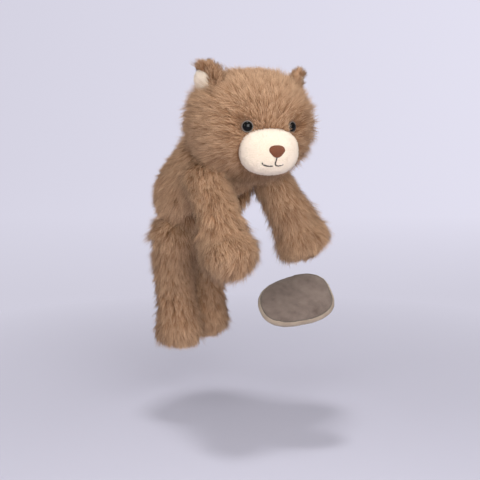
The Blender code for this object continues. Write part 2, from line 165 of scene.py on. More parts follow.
def joined(name: str, parts: Sequence[bpy.types.Object]) -> bpy.types.Object:
    """Joins objects into one.

    Args:
        name: The joined object's name.
        parts: The objects that are joined.

    Returns:
        The joined object.
    """
    choose(*parts)
    if len(parts) > 1:
        bpy.ops.object.join()
    made = bpy.context.view_layer.objects.active
    made.name = made.data.name = name
    return made


def worked(obj: bpy.types.Object, kind: str, **settings: object) -> bpy.types.Object:
    """Adds a modifier with its settings and applies it.

    Args:
        obj: The object that is worked on.
        kind: The modifier's type.
        settings: The modifier's own settings.

    Returns:
        The same object.
    """
    step = obj.modifiers.new(kind.lower(), kind)
    for name, value in settings.items():
        setattr(step, name, value)
    choose(obj)
    bpy.ops.object.modifier_apply(modifier=step.name)
    return obj


def remeshed(obj: bpy.types.Object, voxel: float) -> bpy.types.Object:
    """Gives an object an even closed mesh of this voxel size."""
    return worked(obj, "REMESH", mode="VOXEL", voxel_size=voxel, use_smooth_shade=True)


def copied_solid(name: str, nodes: Sequence[str]) -> bpy.types.Object:
    """Copies solids of the frame into one new object.

    Args:
        name: The new object's name.
        nodes: The solids that are copied.

    Returns:
        The object with all the copies in it, merged at their doubles.
    """
    twins = [linked(name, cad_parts[node].data.copy()) for node in nodes]
    for twin in twins:
        twin.data.materials.clear()
    return worked(joined(name, twins), "WELD", merge_threshold=1e-6)


def largest_part(obj: bpy.types.Object) -> bpy.types.Object:
    """Keeps the largest of an object's loose parts.

    Args:
        obj: The object, which may hold small bubbles inside.

    Returns:
        The object that is left.
    """
    name = obj.name
    choose(obj)
    bpy.ops.object.mode_set(mode="EDIT")
    bpy.ops.mesh.select_all(action="SELECT")
    bpy.ops.mesh.separate(type="LOOSE")
    bpy.ops.object.mode_set(mode="OBJECT")
    found = sorted(bpy.context.selected_objects, key=lambda part: len(part.data.vertices))
    for spare in found[:-1]:
        bpy.data.objects.remove(spare)
    found[-1].name = found[-1].data.name = name
    return found[-1]


def rows_of(obj: bpy.types.Object, value: str) -> np.ndarray:
    """Reads a value of three parts at each of an object's points.

    Args:
        obj: The object, at the origin.
        value: The value's name on a vertex.

    Returns:
        One row for each point.
    """
    flat = np.empty(len(obj.data.vertices) * 3, np.float32)
    obj.data.vertices.foreach_get(value, flat)
    return flat.reshape(-1, 3).astype(float)


def points_of(obj: bpy.types.Object) -> np.ndarray:
    """Gives an object's points, one row of X, Y and Z for each."""
    return rows_of(obj, "co")


def normals_of(obj: bpy.types.Object) -> np.ndarray:
    """Gives the way out at each of an object's points."""
    return rows_of(obj, "normal")


def set_points(obj: bpy.types.Object, points: np.ndarray) -> bpy.types.Object:
    """Moves an object's points.

    Args:
        obj: The object, at the origin.
        points: One row of X, Y and Z for each point.

    Returns:
        The same object.
    """
    obj.data.vertices.foreach_set("co", points.astype(np.float32).ravel())
    obj.data.update()
    return obj


def stuffed_form(name: str, nodes: Sequence[str], voxel: float, shrink: float) -> bpy.types.Object:
    """Makes one smooth stuffed body from the solids of a cover and its stuffing.

    Args:
        name: The new object's name.
        nodes: The solids that it is made from.
        voxel: The remesh's size.
        shrink: How far the surface is then pulled in.

    Returns:
        The stuffed body.
    """
    made = largest_part(remeshed(copied_solid(name, nodes), voxel))
    worked(made, "SMOOTH", factor=0.5, iterations=6)
    return set_points(made, points_of(made) - normals_of(made) * shrink)


def puffed(obj: bpy.types.Object, pressure: float, cap: float) -> bpy.types.Object:
    """Swells a closed cover by cloth simulation and applies the result.

    Args:
        obj: The cover, already remeshed.
        pressure: How hard the filling pushes.
        cap: The furthest that a point may move.

    Returns:
        The same object.
    """
    start = points_of(obj)
    cloth = obj.modifiers.new("filling", "CLOTH")
    for name, value in COVER_CLOTH.items():
        setattr(cloth.settings, name, value)
    cloth.settings.uniform_pressure_force = pressure
    cloth.settings.effector_weights.gravity = 0
    cloth.collision_settings.use_collision = False
    cloth.point_cache.frame_start, cloth.point_cache.frame_end = 1, COVER_FRAMES
    for number in range(1, COVER_FRAMES + 1):
        bpy.context.scene.frame_set(number)
    choose(obj)
    bpy.ops.object.modifier_apply(modifier=cloth.name)
    moved = points_of(obj) - start
    length = np.linalg.norm(moved, axis=1, keepdims=True)
    moved *= np.minimum(1.0, cap / np.maximum(length, 1e-9))
    bpy.context.scene.frame_set(1)
    return set_points(obj, start + moved)


def meshed(name: str, points: np.ndarray, faces: np.ndarray) -> bpy.types.Object:
    """Makes an object from points and triangles.

    Args:
        name: The object's name.
        points: One row for each point.
        faces: Three point numbers for each triangle.

    Returns:
        The object, smooth all over.
    """
    mesh = bpy.data.meshes.new(name)
    mesh.vertices.add(len(points))
    mesh.vertices.foreach_set("co", points.astype(np.float32).ravel())
    mesh.loops.add(faces.size)
    mesh.loops.foreach_set("vertex_index", faces.astype(np.int32).ravel())
    mesh.polygons.add(len(faces))
    mesh.polygons.foreach_set("loop_start", np.arange(0, faces.size, 3, dtype=np.int32))
    mesh.polygons.foreach_set("use_smooth", np.ones(len(faces), bool))
    mesh.update(calc_edges=True)
    return linked(name, mesh)


def thread(name: str, path: Sequence[Vector], radius: float, closed: bool = False) -> bpy.types.Object:
    """Lays a round thread along points and makes it a mesh.

    Args:
        name: The object's name.
        path: The points that it follows.
        radius: The thread's radius.
        closed: Whether its end meets its start.

    Returns:
        The thread.
    """
    curve = bpy.data.curves.new(name, "CURVE")
    curve.dimensions = "3D"
    curve.bevel_depth = radius
    curve.bevel_resolution = 2
    curve.resolution_u = 3
    curve.use_fill_caps = True
    spline = curve.splines.new("BEZIER")
    spline.bezier_points.add(len(path) - 1)
    spline.use_cyclic_u = closed
    for knot, point in zip(spline.bezier_points, path):
        knot.co = point
        knot.handle_left_type = knot.handle_right_type = "AUTO"
    made = linked(name, curve)
    choose(made)
    bpy.ops.object.convert(target="MESH")
    made.data.shade_smooth()
    return made


# ---------------------------------------------------------------- finishes


class Wire:
    """A socket in a node tree, with the arithmetic that the finishes write on it."""

    def __init__(self, tree: bpy.types.NodeTree, socket: bpy.types.NodeSocket) -> None:
        """Wraps a socket of a tree."""
        self.tree = tree
        self.socket = socket

    def _math(self, operation: str, first: object, second: object) -> Wire:
        """Adds a Math node.

        Args:
            operation: The node's operation.
            first: Its first value or wire.
            second: Its second value or wire.

        Returns:
            The node's result.
        """
        node = self.tree.nodes.new("ShaderNodeMath")
        node.operation = operation
        for socket, value in zip(node.inputs, (first, second)):
            if isinstance(value, Wire):
                self.tree.links.new(value.socket, socket)
            else:
                socket.default_value = value
        return Wire(self.tree, node.outputs[0])

    def __add__(self, other: object) -> Wire:
        """Adds."""
        return self._math("ADD", self, other)

    def __radd__(self, other: object) -> Wire:
        """Adds, from the right."""
        return self._math("ADD", other, self)

    def __sub__(self, other: object) -> Wire:
        """Subtracts."""
        return self._math("SUBTRACT", self, other)

    def __rsub__(self, other: object) -> Wire:
        """Subtracts, from the right."""
        return self._math("SUBTRACT", other, self)

    def __mul__(self, other: object) -> Wire:
        """Multiplies."""
        return self._math("MULTIPLY", self, other)

    def __rmul__(self, other: object) -> Wire:
        """Multiplies, from the right."""
        return self._math("MULTIPLY", other, self)

    def __pow__(self, other: object) -> Wire:
        """Raises to a power."""
        return self._math("POWER", self, other)

    def beside(self, output: int | str) -> Wire:
        """Gives another output of the same node."""
        return Wire(self.tree, self.socket.node.outputs[output])


class Nodes:
    """A node tree under making."""

    def __init__(self, tree: bpy.types.NodeTree) -> None:
        """Takes up a tree."""
        self.tree = tree

    def add(
        self,
        kind: str,
        settings: dict[str, object] | None = None,
        output: int | str = 0,
        numbered: dict[int, object] | None = None,
        **sockets: object,
    ) -> Wire:
        """Adds any node.

        Args:
            kind: The node's type without its ShaderNode prefix.
            settings: The node's own settings or a ramp's stops, set first.
            output: Which of its outputs is given back.
            numbered: Values or wires by socket number, where names repeat.
            sockets: Values or wires by socket name, with _ for a space.

        Returns:
            The chosen output.
        """
        node = self.tree.nodes.new(f"ShaderNode{kind}")
        for name, value in (settings or {}).items():
            if name == "stops":
                self.set_stops(node.color_ramp.elements, value)
            else:
                setattr(node, name, value)
        for number, value in (numbered or {}).items():
            self.feed(node.inputs[number], value)
        for name, value in sockets.items():
            self.feed(node.inputs[name.replace("_", " ")], value)
        return Wire(self.tree, node.outputs[output])

    def set_stops(self, elements: bpy.types.ColorRampElements, stops: Stops) -> None:
        """Sets a colour ramp's stops.

        Args:
            elements: The ramp's own stops.
            stops: A place and a colour for each.
        """
        while len(elements) < len(stops):
            elements.new(0.5)
        for element, (where, colour) in zip(elements, stops):
            element.position = where
            element.color = (*colour, 1.0)

    def feed(self, socket: bpy.types.NodeSocket, value: object) -> None:
        """Links a wire to a socket or sets its value.

        Args:
            socket: The socket.
            value: A wire, a number, a vector, or a colour of three parts.
        """
        if isinstance(value, Wire):
            self.tree.links.new(value.socket, socket)
        elif isinstance(value, tuple) and len(value) == 3 and socket.type == "RGBA":
            socket.default_value = (*value, 1.0)
        else:
            socket.default_value = value

    def vector(self, operation: str, output: int | str, *values: object) -> Wire:
        """Adds a Vector Math node and gives one of its outputs."""
        return self.add("VectorMath", {"operation": operation}, output, dict(enumerate(values)))

    def mix(self, share: object, first: object, second: object) -> Wire:
        """Mixes two colours by the share of the second."""
        return self.add("Mix", {"data_type": "RGBA"}, 2, {0: share, 6: first, 7: second})

    def ramp(self, share: Wire, stops: Stops) -> Wire:
        """Runs a value from 0 to 1 through a colour ramp."""
        return self.add("ValToRGB", {"stops": stops}, numbered={0: share})

    def grey_ramp(self, share: Wire, low: float) -> Wire:
        """Runs a value from 0 to 1 through a ramp from a grey to white, held at both ends."""
        return self.add("RGBToBW", Color=self.ramp(share, ((0.0, (low,) * 3), (1.0, (1.0,) * 3))))


class Recipe(Nodes):
    """A material under making, with its Principled shader."""

    def __init__(self, name: str) -> None:
        """Starts a material.

        Args:
            name: The material's name.
        """
        self.material = bpy.data.materials.new(name)
        self.material.use_nodes = True
        super().__init__(self.material.node_tree)
        self.shader = self.tree.nodes["Principled BSDF"]

    def noise(self, where: Wire, scale: float, detail: float = 3.0) -> Wire:
        """Gives a cloudy pattern from 0 to 1 at points."""
        return self.add("TexNoise", Vector=where, Scale=scale, Detail=detail)

    def place(self) -> Wire:
        """Gives Object coordinates."""
        return self.add("TexCoord", output="Object")

    def bump(self, height: Wire, distance: float) -> None:
        """Feeds the shader's Normal from a height."""
        bumped = self.add("Bump", Height=height, Distance=distance, Strength=1.0)
        self.feed(self.shader.inputs["Normal"], bumped)

    def dress(self, **sockets: object) -> bpy.types.Material:
        """Sets the shader's own sockets.

        Args:
            sockets: Values or wires by socket name, with _ for a space.

        Returns:
            The finished material.
        """
        for name, value in sockets.items():
            self.feed(self.shader.inputs[name.replace("_", " ")], value)
        return self.material


@dataclass(frozen=True)
class PileFinish:
    """The colour of a lock of pile along its length, from the locks' own map: lighter at the tip in the fur's
    own colour, darker towards the root as painted shade deep in the pile.
    """

    name: str
    root: Colour
    middle: Colour
    tip: Colour
    shade: Colour
    roughness: float = 0.65
    gloss: float = 0.15
    middle_at: float = 0.45
    depth: float = 0.8

    def build(self) -> bpy.types.Material:
        """Makes the material, whose map has the lock's tone across and its length up.

        Returns:
            The material.
        """
        made = Recipe(self.name)
        tone = made.add("SeparateXYZ", numbered={0: made.add("UVMap", {"uv_map": BAKE_MAP})})
        body = made.ramp(tone.beside(1), ((0.0, self.root), (self.middle_at, self.middle), (1.0, self.tip)))
        return made.dress(
            Base_Color=made.mix((1 - tone) ** 1.5 * self.depth, body, self.shade),
            Roughness=self.roughness,
            Specular_IOR_Level=self.gloss,
        )


@dataclass(frozen=True)
class ClothFinish:
    """A soft cloth with a short nap and slight mottling."""

    name: str
    ground: Colour
    fleck: Colour
    grain: float = 900.0
    cloud: float = 45.0
    depth: float = 0.0004
    roughness: float = 0.9
    sheen: float = 0.2

    def build(self) -> bpy.types.Material:
        """Makes the material from fine nap and broad clouds.

        Returns:
            The material.
        """
        made = Recipe(self.name)
        where = made.place()
        nap, clouds = made.noise(where, self.grain), made.noise(where, self.cloud)
        share = nap * 0.5 + clouds * 0.9 - 0.2
        made.bump(nap + clouds * 0.6, self.depth)
        return made.dress(
            Base_Color=made.mix(share, self.ground, self.fleck),
            Roughness=self.roughness,
            Specular_IOR_Level=0.2,
            Sheen_Weight=self.sheen,
        )


@dataclass(frozen=True)
class VelourFinish:
    """Velour whose brushed nap is painted lighter and darker: painted sheen, where the nap would catch the
    light.
    """

    name: str
    dark: Colour
    light: Colour
    turn: float = 0.0

    def build(self) -> bpy.types.Material:
        """Makes the material from long strokes, small blotches and fine nap, which paint a sheen on its
        colour.

        Returns:
            The material.
        """
        made = Recipe(self.name)
        where = made.place()
        stroked = made.add("Mapping", Vector=where, Rotation=(0.0, 0.0, self.turn), Scale=(1.0, 0.35, 1.0))
        sheen_strokes = made.noise(stroked, 70.0, 4.0)
        blotches, nap = made.noise(where, 160.0, 4.0), made.noise(where, 1500.0)
        # Painted sheen: strokes, blotches and nap lighten and darken the velour's colour.
        share = sheen_strokes * 1.5 + blotches * 0.8 + nap * 0.5 - 0.9
        made.bump(nap + blotches * 0.7, 0.0004)
        return made.dress(
            Base_Color=made.mix(share, self.dark, self.light),
            Roughness=0.95,
            Specular_IOR_Level=0.15,
            Sheen_Weight=0.3,
        )


@dataclass(frozen=True)
class GlossFinish:
    """Hard polished plastic."""

    name: str
    colour: Colour
    roughness: float
    shine: float = 0.35

    def build(self) -> bpy.types.Material:
        """Makes the material, with faint wear in its gloss.

        Returns:
            The material.
        """
        made = Recipe(self.name)
        wear = made.noise(made.place(), 400.0)
        return made.dress(
            Base_Color=made.mix(wear * 0.3, self.colour, tuple(part * 1.5 for part in self.colour)),
            Roughness=wear * 0.05 + self.roughness,
            Specular_IOR_Level=self.shine,
        )


@dataclass(frozen=True)
class ThreadFinish:
    """Embroidery thread, slightly glossy, with its twist."""

    name: str
    dark: Colour
    light: Colour
    twist: float = 2500.0

    def build(self) -> bpy.types.Material:
        """Makes the material from a fine slanting wave.

        Returns:
            The material.
        """
        made = Recipe(self.name)
        where = made.place()
        slanted = made.add("Mapping", Vector=where, Rotation=(0.4, 0.9, 0.5))
        wave = made.add("TexWave", output="Fac", Vector=slanted, Scale=self.twist / 6.28, Distortion=1.5)
        cloud = made.noise(where, 300.0)
        made.bump(wave, 0.0001)
        return made.dress(
            Base_Color=made.mix(wave * 0.5 + cloud * 0.5, self.dark, self.light),
            Roughness=0.55,
            Specular_IOR_Level=0.35,
            Sheen_Weight=0.2,
        )


@dataclass(frozen=True)
class StudioFinish:
    """The paper of floor and backdrop, which holds real shadows near the bear and further off glows as painted
    light, lighter to the right as the camera sees it.
    """

    name: str
    floor: Colour
    ground: Colour
    left: Colour
    right: Colour
    middle: Vector
    side: Vector
    away: Vector
    near: float = 0.20
    far: float = 0.60
    least: float = 0.14
    horizon: tuple[float, float] = (0.6, 1.3)

    def build(self) -> bpy.types.Material:
        """Makes the material, plain paper for all rays but those to the eye and to gloss.

        Returns:
            The material.
        """
        made = Recipe(self.name)
        where = made.vector("SUBTRACT", 0, made.place(), self.middle)
        gap = made.vector("LENGTH", "Value", where)
        across = made.vector("DOT_PRODUCT", "Value", where, self.side) * 0.45 + 0.5
        start, end = self.horizon
        behind = (made.vector("DOT_PRODUCT", "Value", where, self.away) - start) * (1 / (end - start))
        # Painted light: the wall glows lighter towards the right.
        wall = made.ramp(across, ((0.0, self.left), (1.0, self.right)))
        glow = made.add("Emission", Color=made.mix(made.grey_ramp(behind, 0.0), self.ground, wall))
        path = made.add("LightPath", output="Is Camera Ray")
        seen = path + path.beside("Is Glossy Ray") + path.beside("Is Transmission Ray")
        bright = made.grey_ramp((gap - self.near) * (1 / (self.far - self.near)), self.least) * seen
        plain = Wire(made.tree, made.shader.outputs[0])
        blend = made.add("MixShader", numbered={0: bright, 1: plain, 2: glow})
        made.feed(made.tree.nodes["Material Output"].inputs["Surface"], blend)
        worn = tuple(part * 0.97 for part in self.floor)
        return made.dress(
            Base_Color=made.mix(made.noise(made.place(), 60.0) * 0.1, self.floor, worn),
            Roughness=1.0,
            Specular_IOR_Level=0.0,
        )


class Finishes:
    """Every finish on the bear, each made once."""

    def __init__(self) -> None:
        """Makes the materials."""
        # The long pile darkens from tip to root: painted shade deep in the pile, on top of the shade that the
        # locks cast.
        self.long_pile = PileFinish(
            "long_pile",
            root=(0.135, 0.058, 0.027),
            middle=(0.380, 0.204, 0.108),
            tip=(0.785, 0.530, 0.346),
            shade=(0.160, 0.074, 0.036),
        ).build()
        self.cream_pile = PileFinish(
            "cream_pile",
            root=(0.890, 0.765, 0.640),
            middle=(0.930, 0.810, 0.695),
            tip=(0.940, 0.825, 0.715),
            shade=(0.900, 0.775, 0.655),
        ).build()
        # Dark brown cloth under the long pile: painted shade among the pile's roots.
        self.shaded_ground_cloth = ClothFinish("pile_ground_shade", (0.130, 0.068, 0.038), (0.190, 0.105, 0.060)).build()
        # Cream cloth under the muzzle's nap and on the ear linings: its own cream, darkened by painted shade
        # to match the nap's shade where the cloth shows bare.
        self.shaded_cream_cloth = ClothFinish("cream_ground_shade", (0.810, 0.720, 0.580), (0.870, 0.780, 0.640)).build()
        self.pocket = ClothFinish("pocket_cloth", (0.150, 0.090, 0.060), (0.220, 0.140, 0.095), 1600.0).build()
        self.welt = ClothFinish("seam_cloth", (0.090, 0.070, 0.056), (0.170, 0.140, 0.115), 2000.0).build()
        self.hook = ClothFinish("hook_tape", (0.060, 0.042, 0.032), (0.130, 0.095, 0.075), 2600.0).build()
        self.loop = ClothFinish("loop_tape", (0.100, 0.070, 0.052), (0.190, 0.140, 0.110), 1300.0).build()
        # The pad's velour and its band carry painted sheen in their brushed nap.
        self.velour = VelourFinish("pad_velour", (0.090, 0.065, 0.053), (0.205, 0.157, 0.134), 0.6).build()
        self.band = VelourFinish("band_velour", (0.250, 0.190, 0.145), (0.420, 0.340, 0.265)).build()
        self.eye = GlossFinish("eye_black", (0.002, 0.002, 0.002), 0.04, shine=0.20).build()
        # A thin grey ring round each eye: painted reflection of the fur at the dome's edge.
        self.eye_rim = GlossFinish("eye_rim_grey", (0.160, 0.140, 0.125), 0.35).build()
        self.nose = ThreadFinish("nose_thread", (0.100, 0.025, 0.008), (0.215, 0.062, 0.019)).build()
        self.mouth = ThreadFinish("mouth_thread", (0.030, 0.020, 0.016), (0.075, 0.055, 0.045)).build()
        self.washer = GlossFinish("washer_white", (0.620, 0.620, 0.600), 0.40).build()


def dress(obj: bpy.types.Object, finish: bpy.types.Material) -> bpy.types.Object:
    """Gives a piece one finish all over and reports it.

    Args:
        obj: The piece.
        finish: Its material.

    Returns:
        The same piece.
    """
    obj.data.materials.clear()
    obj.data.materials.append(finish)
    log.info("%s in %s", obj.name, finish.name)
    return obj


# ---------------------------------------------------------------- pile


def unit(rows: np.ndarray) -> np.ndarray:
    """Scales each row to length 1."""
    return rows / np.maximum(np.linalg.norm(rows, axis=1, keepdims=True), 1e-9)


def along_surface(ways: np.ndarray, normals: np.ndarray) -> np.ndarray:
    """Takes out of each way what points off the surface.

    Args:
        ways: One way for each point.
        normals: The way out at each point.

    Returns:
        The ways that are left, of length up to 1.
    """
    return ways - normals * (ways * normals).sum(1, keepdims=True)


def waves(points: np.ndarray, length: float, seed: int) -> np.ndarray:
    """Gives a smooth random value from about -1 to 1 at points.

    Args:
        points: One row for each point.
        length: How far apart its hills are.
        seed: Which pattern.

    Returns:
        One value for each point.
    """
    rng = np.random.default_rng(seed)
    ways = unit(rng.normal(size=(9, 3))) * (2 * math.pi / length) * rng.uniform(0.6, 1.4, (9, 1))
    return np.sin(points @ ways.T + rng.uniform(0, 2 * math.pi, 9)).sum(1) / 4.5


@dataclass(frozen=True)
class Pile:
    """A kind of pile: how dense and long its locks are, how they rise and how they gather.

    Angles are in degrees, and a spread is that of the normal distribution, as a share where it
    isn't an angle. A ring is a place along the lock and its girth there.
    """

    density: float = 0.88e6
    length: float = 0.0175
    width: float = 0.00105
    rise: float = 40.0
    lie: float = 6.0
    tuft: float = 0.0036
    gather: float = 0.27
    knee_gather: float = 0.35
    unruly: float = 0.20
    sag: float = 0.0010
    swirl: float = 0.28
    swirl_size: float = 0.03
    rooted: float = 0.0006
    tone: float = 0.62
    evenness: float = 0.25
    rings: tuple[tuple[float, float], ...] = ((0.0, 1.0), (0.42, 0.85))
    rise_spread: float = 7.0
    lie_spread: float = 9.0
    tuft_rise_spread: float = 5.0
    length_spread: float = 0.12
    tuft_length_spread: float = 0.07
    width_spread: float = 0.20
    tone_spread: float = 0.29
    tuft_tone_spread: float = 0.15
    cloud_tone: float = 0.10
    cloud_size: float = 0.05
    least_share: float = 0.02

    @property
    def guard(self) -> Pile:
        """The thin straight hair that stands out of this pile.

        Returns:
            The pile that grows on the same ground.
        """
        slope = (self.rise + self.lie) / 2 + 12
        return replace(
            self,
            density=self.density * 1.5,
            width=self.width * 0.45,
            length=self.length * 1.10,
            rise=slope,
            lie=slope,
            tuft=self.tuft * 0.75,
            gather=0.42,
            unruly=self.unruly * 1.7,
            tone=self.tone + 0.12,
            rings=((0.0, 1.0),),
        )

    def roots(self, ground: bpy.types.Object, rng: np.random.Generator) -> tuple[np.ndarray, np.ndarray]:
        """Scatters roots evenly on a surface.

        Args:
            ground: The object that the pile grows on.
            rng: Where the chance comes from.

        Returns:
            The roots and the way out at each.
        """
        mesh = ground.data
        mesh.calc_loop_triangles()
        faces = np.empty(len(mesh.loop_triangles) * 3, np.int32)
        mesh.loop_triangles.foreach_get("vertices", faces)
        faces = faces.reshape(-1, 3)
        points, normals = points_of(ground), normals_of(ground)
        corners = points[faces]
        edges = corners[:, 1:] - corners[:, :1]
        area = np.linalg.norm(np.cross(edges[:, 0], edges[:, 1]), axis=1) / 2
        count = int(area.sum() * self.density)
        picks = (np.arange(count) + rng.random(count)) / count * area.sum()
        which = np.minimum(np.searchsorted(np.cumsum(area), picks), len(faces) - 1)
        shares = rng.random((count, 2))
        folded = shares.sum(1) > 1
        shares[folded] = 1 - shares[folded]
        shares = np.column_stack((1 - shares.sum(1), shares))[:, :, None]
        return (points[faces[which]] * shares).sum(1), unit((normals[faces[which]] * shares).sum(1))

    def grow(
        self,
        name: str,
        ground: bpy.types.Object,
        flow: Field,
        measure: Field,
        finish: bpy.types.Material,
        box: Box,
        seed: int,
        pieces: int = 1,
    ) -> list[bpy.types.Object]:
        """Grows the pile as closed tapering locks gathered into tufts.

        Args:
            name: The pieces' name.
            ground: The object that it grows on, which carries the pieces.
            flow: The way the pile is brushed at points with their normals.
            measure: The locks' length there, as a share, and 0 where none grow.
            finish: The pile's material.
            box: The lowest and highest corner that tips keep within.
            seed: Which chance it has.
            pieces: How many objects it is split into.

        Returns:
            The pieces.
        """
        rng = np.random.default_rng(seed)
        roots, normals = self.roots(ground, rng)
        share = measure(roots, normals)
        kept = share > self.least_share
        roots, normals, share = roots[kept], normals[kept], share[kept]
        count = len(roots)
        heads = rng.permutation(count)[: max(1, int(count / (self.density * self.tuft**2)))]
        mine = self.nearest(roots[heads], roots)

        def per_lock(spread: float) -> np.ndarray:
            """Draws a value for each lock."""
            return rng.normal(size=count) * spread

        def per_tuft(spread: float) -> np.ndarray:
            """Draws a value for each tuft and gives it to the tuft's locks."""
            return (rng.normal(size=len(heads)) * spread)[mine]

        ways = along_surface(flow(roots, normals), normals)
        side = np.cross(normals, unit(ways))
        turn = waves(roots, self.swirl_size, seed + 1) * self.swirl
        turn = (turn + per_tuft(self.unruly) + per_lock(self.unruly * 0.5))[:, None]
        ways = unit(ways + side * np.linalg.norm(ways, axis=1, keepdims=True) * turn)
        tuft_rise = per_tuft(self.tuft_rise_spread)
        rise = np.radians(self.rise + tuft_rise + per_lock(self.rise_spread))[:, None]
        lie = np.radians(self.lie + tuft_rise + per_lock(self.lie_spread))[:, None]
        length = self.length * share * (1 + per_tuft(self.tuft_length_spread))
        length = (length * np.clip(1 + per_lock(self.length_spread), 0.6, 1.3))[:, None]
        knee = roots + (normals * np.sin(rise) + ways * np.cos(rise)) * length / 2
        tip = knee + (normals * np.sin(lie) + ways * np.cos(lie)) * length / 2
        tip[:, 2] -= self.sag * (length[:, 0] / self.length) ** 2
        pull = self.gather * rng.uniform(0.5, 1.2, (count, 1))
        knee += (knee[heads][mine] - knee) * pull * self.knee_gather
        tip += (tip[heads][mine] - tip) * np.minimum(pull, 0.9)
        fits = self.fitting(roots, tip, box)
        fits = np.where(fits < 1, fits * rng.uniform(0.8, 1.0, count), 1.0)[:, None]
        knee, tip = roots + (knee - roots) * fits, roots + (tip - roots) * fits
        tone = self.tone + per_lock(self.tone_spread) + per_tuft(self.tuft_tone_spread)
        tone = np.clip(tone + self.cloud_tone * waves(roots, self.cloud_size, seed + 2), 0.02, 0.98)
        width = self.width * np.clip(1 + per_lock(self.width_spread), 0.5, 1.5) * np.sqrt(share)
        made = []
        for part, chosen in enumerate(np.array_split(np.argsort(roots[:, 2]), pieces)):
            label = name if pieces == 1 else f"{name}_{part + 1}"
            rows = (values[chosen] for values in (roots, knee, tip, normals, width, tone))
            locks = self.locks(label, *rows, rng)
            locks.parent = ground
            made.append(dress(locks, finish))
        log.info("%s: %d locks", name, count)
        return made

    def nearest(self, heads: np.ndarray, roots: np.ndarray) -> np.ndarray:
        """Tells which head is the nearest to each root.

        Args:
            heads: The roots that the tufts gather at.
            roots: The roots of all locks.

        Returns:
            The number of a head for each root.
        """
        tree = KDTree(len(heads))
        for number, head in enumerate(heads):
            tree.insert(head, number)
        tree.balance()
        return np.array([tree.find(root)[1] for root in roots])

    def fitting(self, roots: np.ndarray, tips: np.ndarray, box: Box) -> np.ndarray:
        """Tells what share of each lock lies in the box, over 1 where all of it does.

        Args:
            roots: Where each lock starts.
            tips: Where it ends.
            box: The lowest and highest corner.

        Returns:
            One share for each lock.
        """
        reach = tips - roots
        room = np.where(reach > 0, box[1], box[0]) - roots
        return np.min(np.abs(room) / np.maximum(np.abs(reach), 1e-6), axis=1)

    def locks(
        self,
        name: str,
        roots: np.ndarray,
        knees: np.ndarray,
        tips: np.ndarray,
        normals: np.ndarray,
        widths: np.ndarray,
        tones: np.ndarray,
        rng: np.random.Generator,
    ) -> bpy.types.Object:
        """Builds locks as one mesh of closed three-sided spikes, with their map.

        Args:
            name: The object's name.
            roots: Where each lock starts.
            knees: The point that it bends towards.
            tips: Where it ends.
            normals: The way out at its root.
            widths: How wide it is.
            tones: How light it is, from 0 to 1.
            rng: Where the chance comes from.

        Returns:
            The object.
        """
        count, rings = len(roots), len(self.rings)
        stride = rings * 3 + 1
        start = roots - normals * self.rooted
        phase = rng.uniform(0, 2 * math.pi, count)
        points, shading = np.empty((count, stride, 3)), np.empty((count, stride, 3))
        for ring, (at, girth) in enumerate(self.rings):
            middle = start * (1 - at) ** 2 + knees * 2 * at * (1 - at) + tips * at**2
            run = unit((knees - start) * (1 - at) + (tips - knees) * at)
            across = unit(np.cross(run, normals + 1e-3))
            up = np.cross(run, across)
            for corner in range(3):
                angle = phase + corner * 2 * math.pi / 3
                out = across * np.cos(angle)[:, None] + up * np.sin(angle)[:, None]
                points[:, ring * 3 + corner] = middle + out * (widths / 2 * girth)[:, None]
                shading[:, ring * 3 + corner] = unit(out * 0.6 + normals * self.evenness)
        points[:, -1] = tips
        shading[:, -1] = normals
        faces, uses = [(0, 2, 1)], [((0.0, 0), (1.0, 0), (0.5, 0))]
        for ring in range(rings):
            for corner in range(3):
                a, b = ring * 3 + corner, ring * 3 + (corner + 1) % 3
                left, right = (0.0, ring), (1.0, ring)
                if ring == rings - 1:
                    faces.append((a, b, rings * 3))
                    uses.append((left, right, (0.5, rings)))
                else:
                    faces += [(a, b, b + 3), (a, b + 3, a + 3)]
                    uses += [(left, right, (1.0, ring + 1)), (left, (1.0, ring + 1), (0.0, ring + 1))]
        every = np.array(faces)[None] + (np.arange(count) * stride)[:, None, None]
        made = meshed(name, points.reshape(-1, 3), every.reshape(-1, 3))
        heights = [at for at, _ in self.rings] + [1.0]
        flat = np.array([[(u, heights[level]) for u, level in face] for face in uses])
        strip = np.floor(tones * (TONE_STRIPS - 1))[:, None, None]
        across = (strip + 0.1 + 0.8 * flat[None, :, :, 0]) / TONE_STRIPS
        along = np.broadcast_to(0.02 + 0.96 * flat[None, :, :, 1], across.shape)
        layer = made.data.uv_layers.new(name=BAKE_MAP)
        layer.uv.foreach_set("vector", np.stack((across, along), -1).astype(np.float32).ravel())
        made.data.normals_split_custom_set_from_vertices(shading.reshape(-1, 3).astype(np.float32))
        return made


# ---------------------------------------------------------------- sub-assemblies


def turned(matrix: Matrix, points: np.ndarray) -> np.ndarray:
    """Takes points through a matrix.

    Args:
        matrix: The matrix.
        points: One row for each point.

    Returns:
        The points where it takes them.
    """
    rows = np.array(matrix)
    return points @ rows[:3, :3].T + rows[:3, 3]


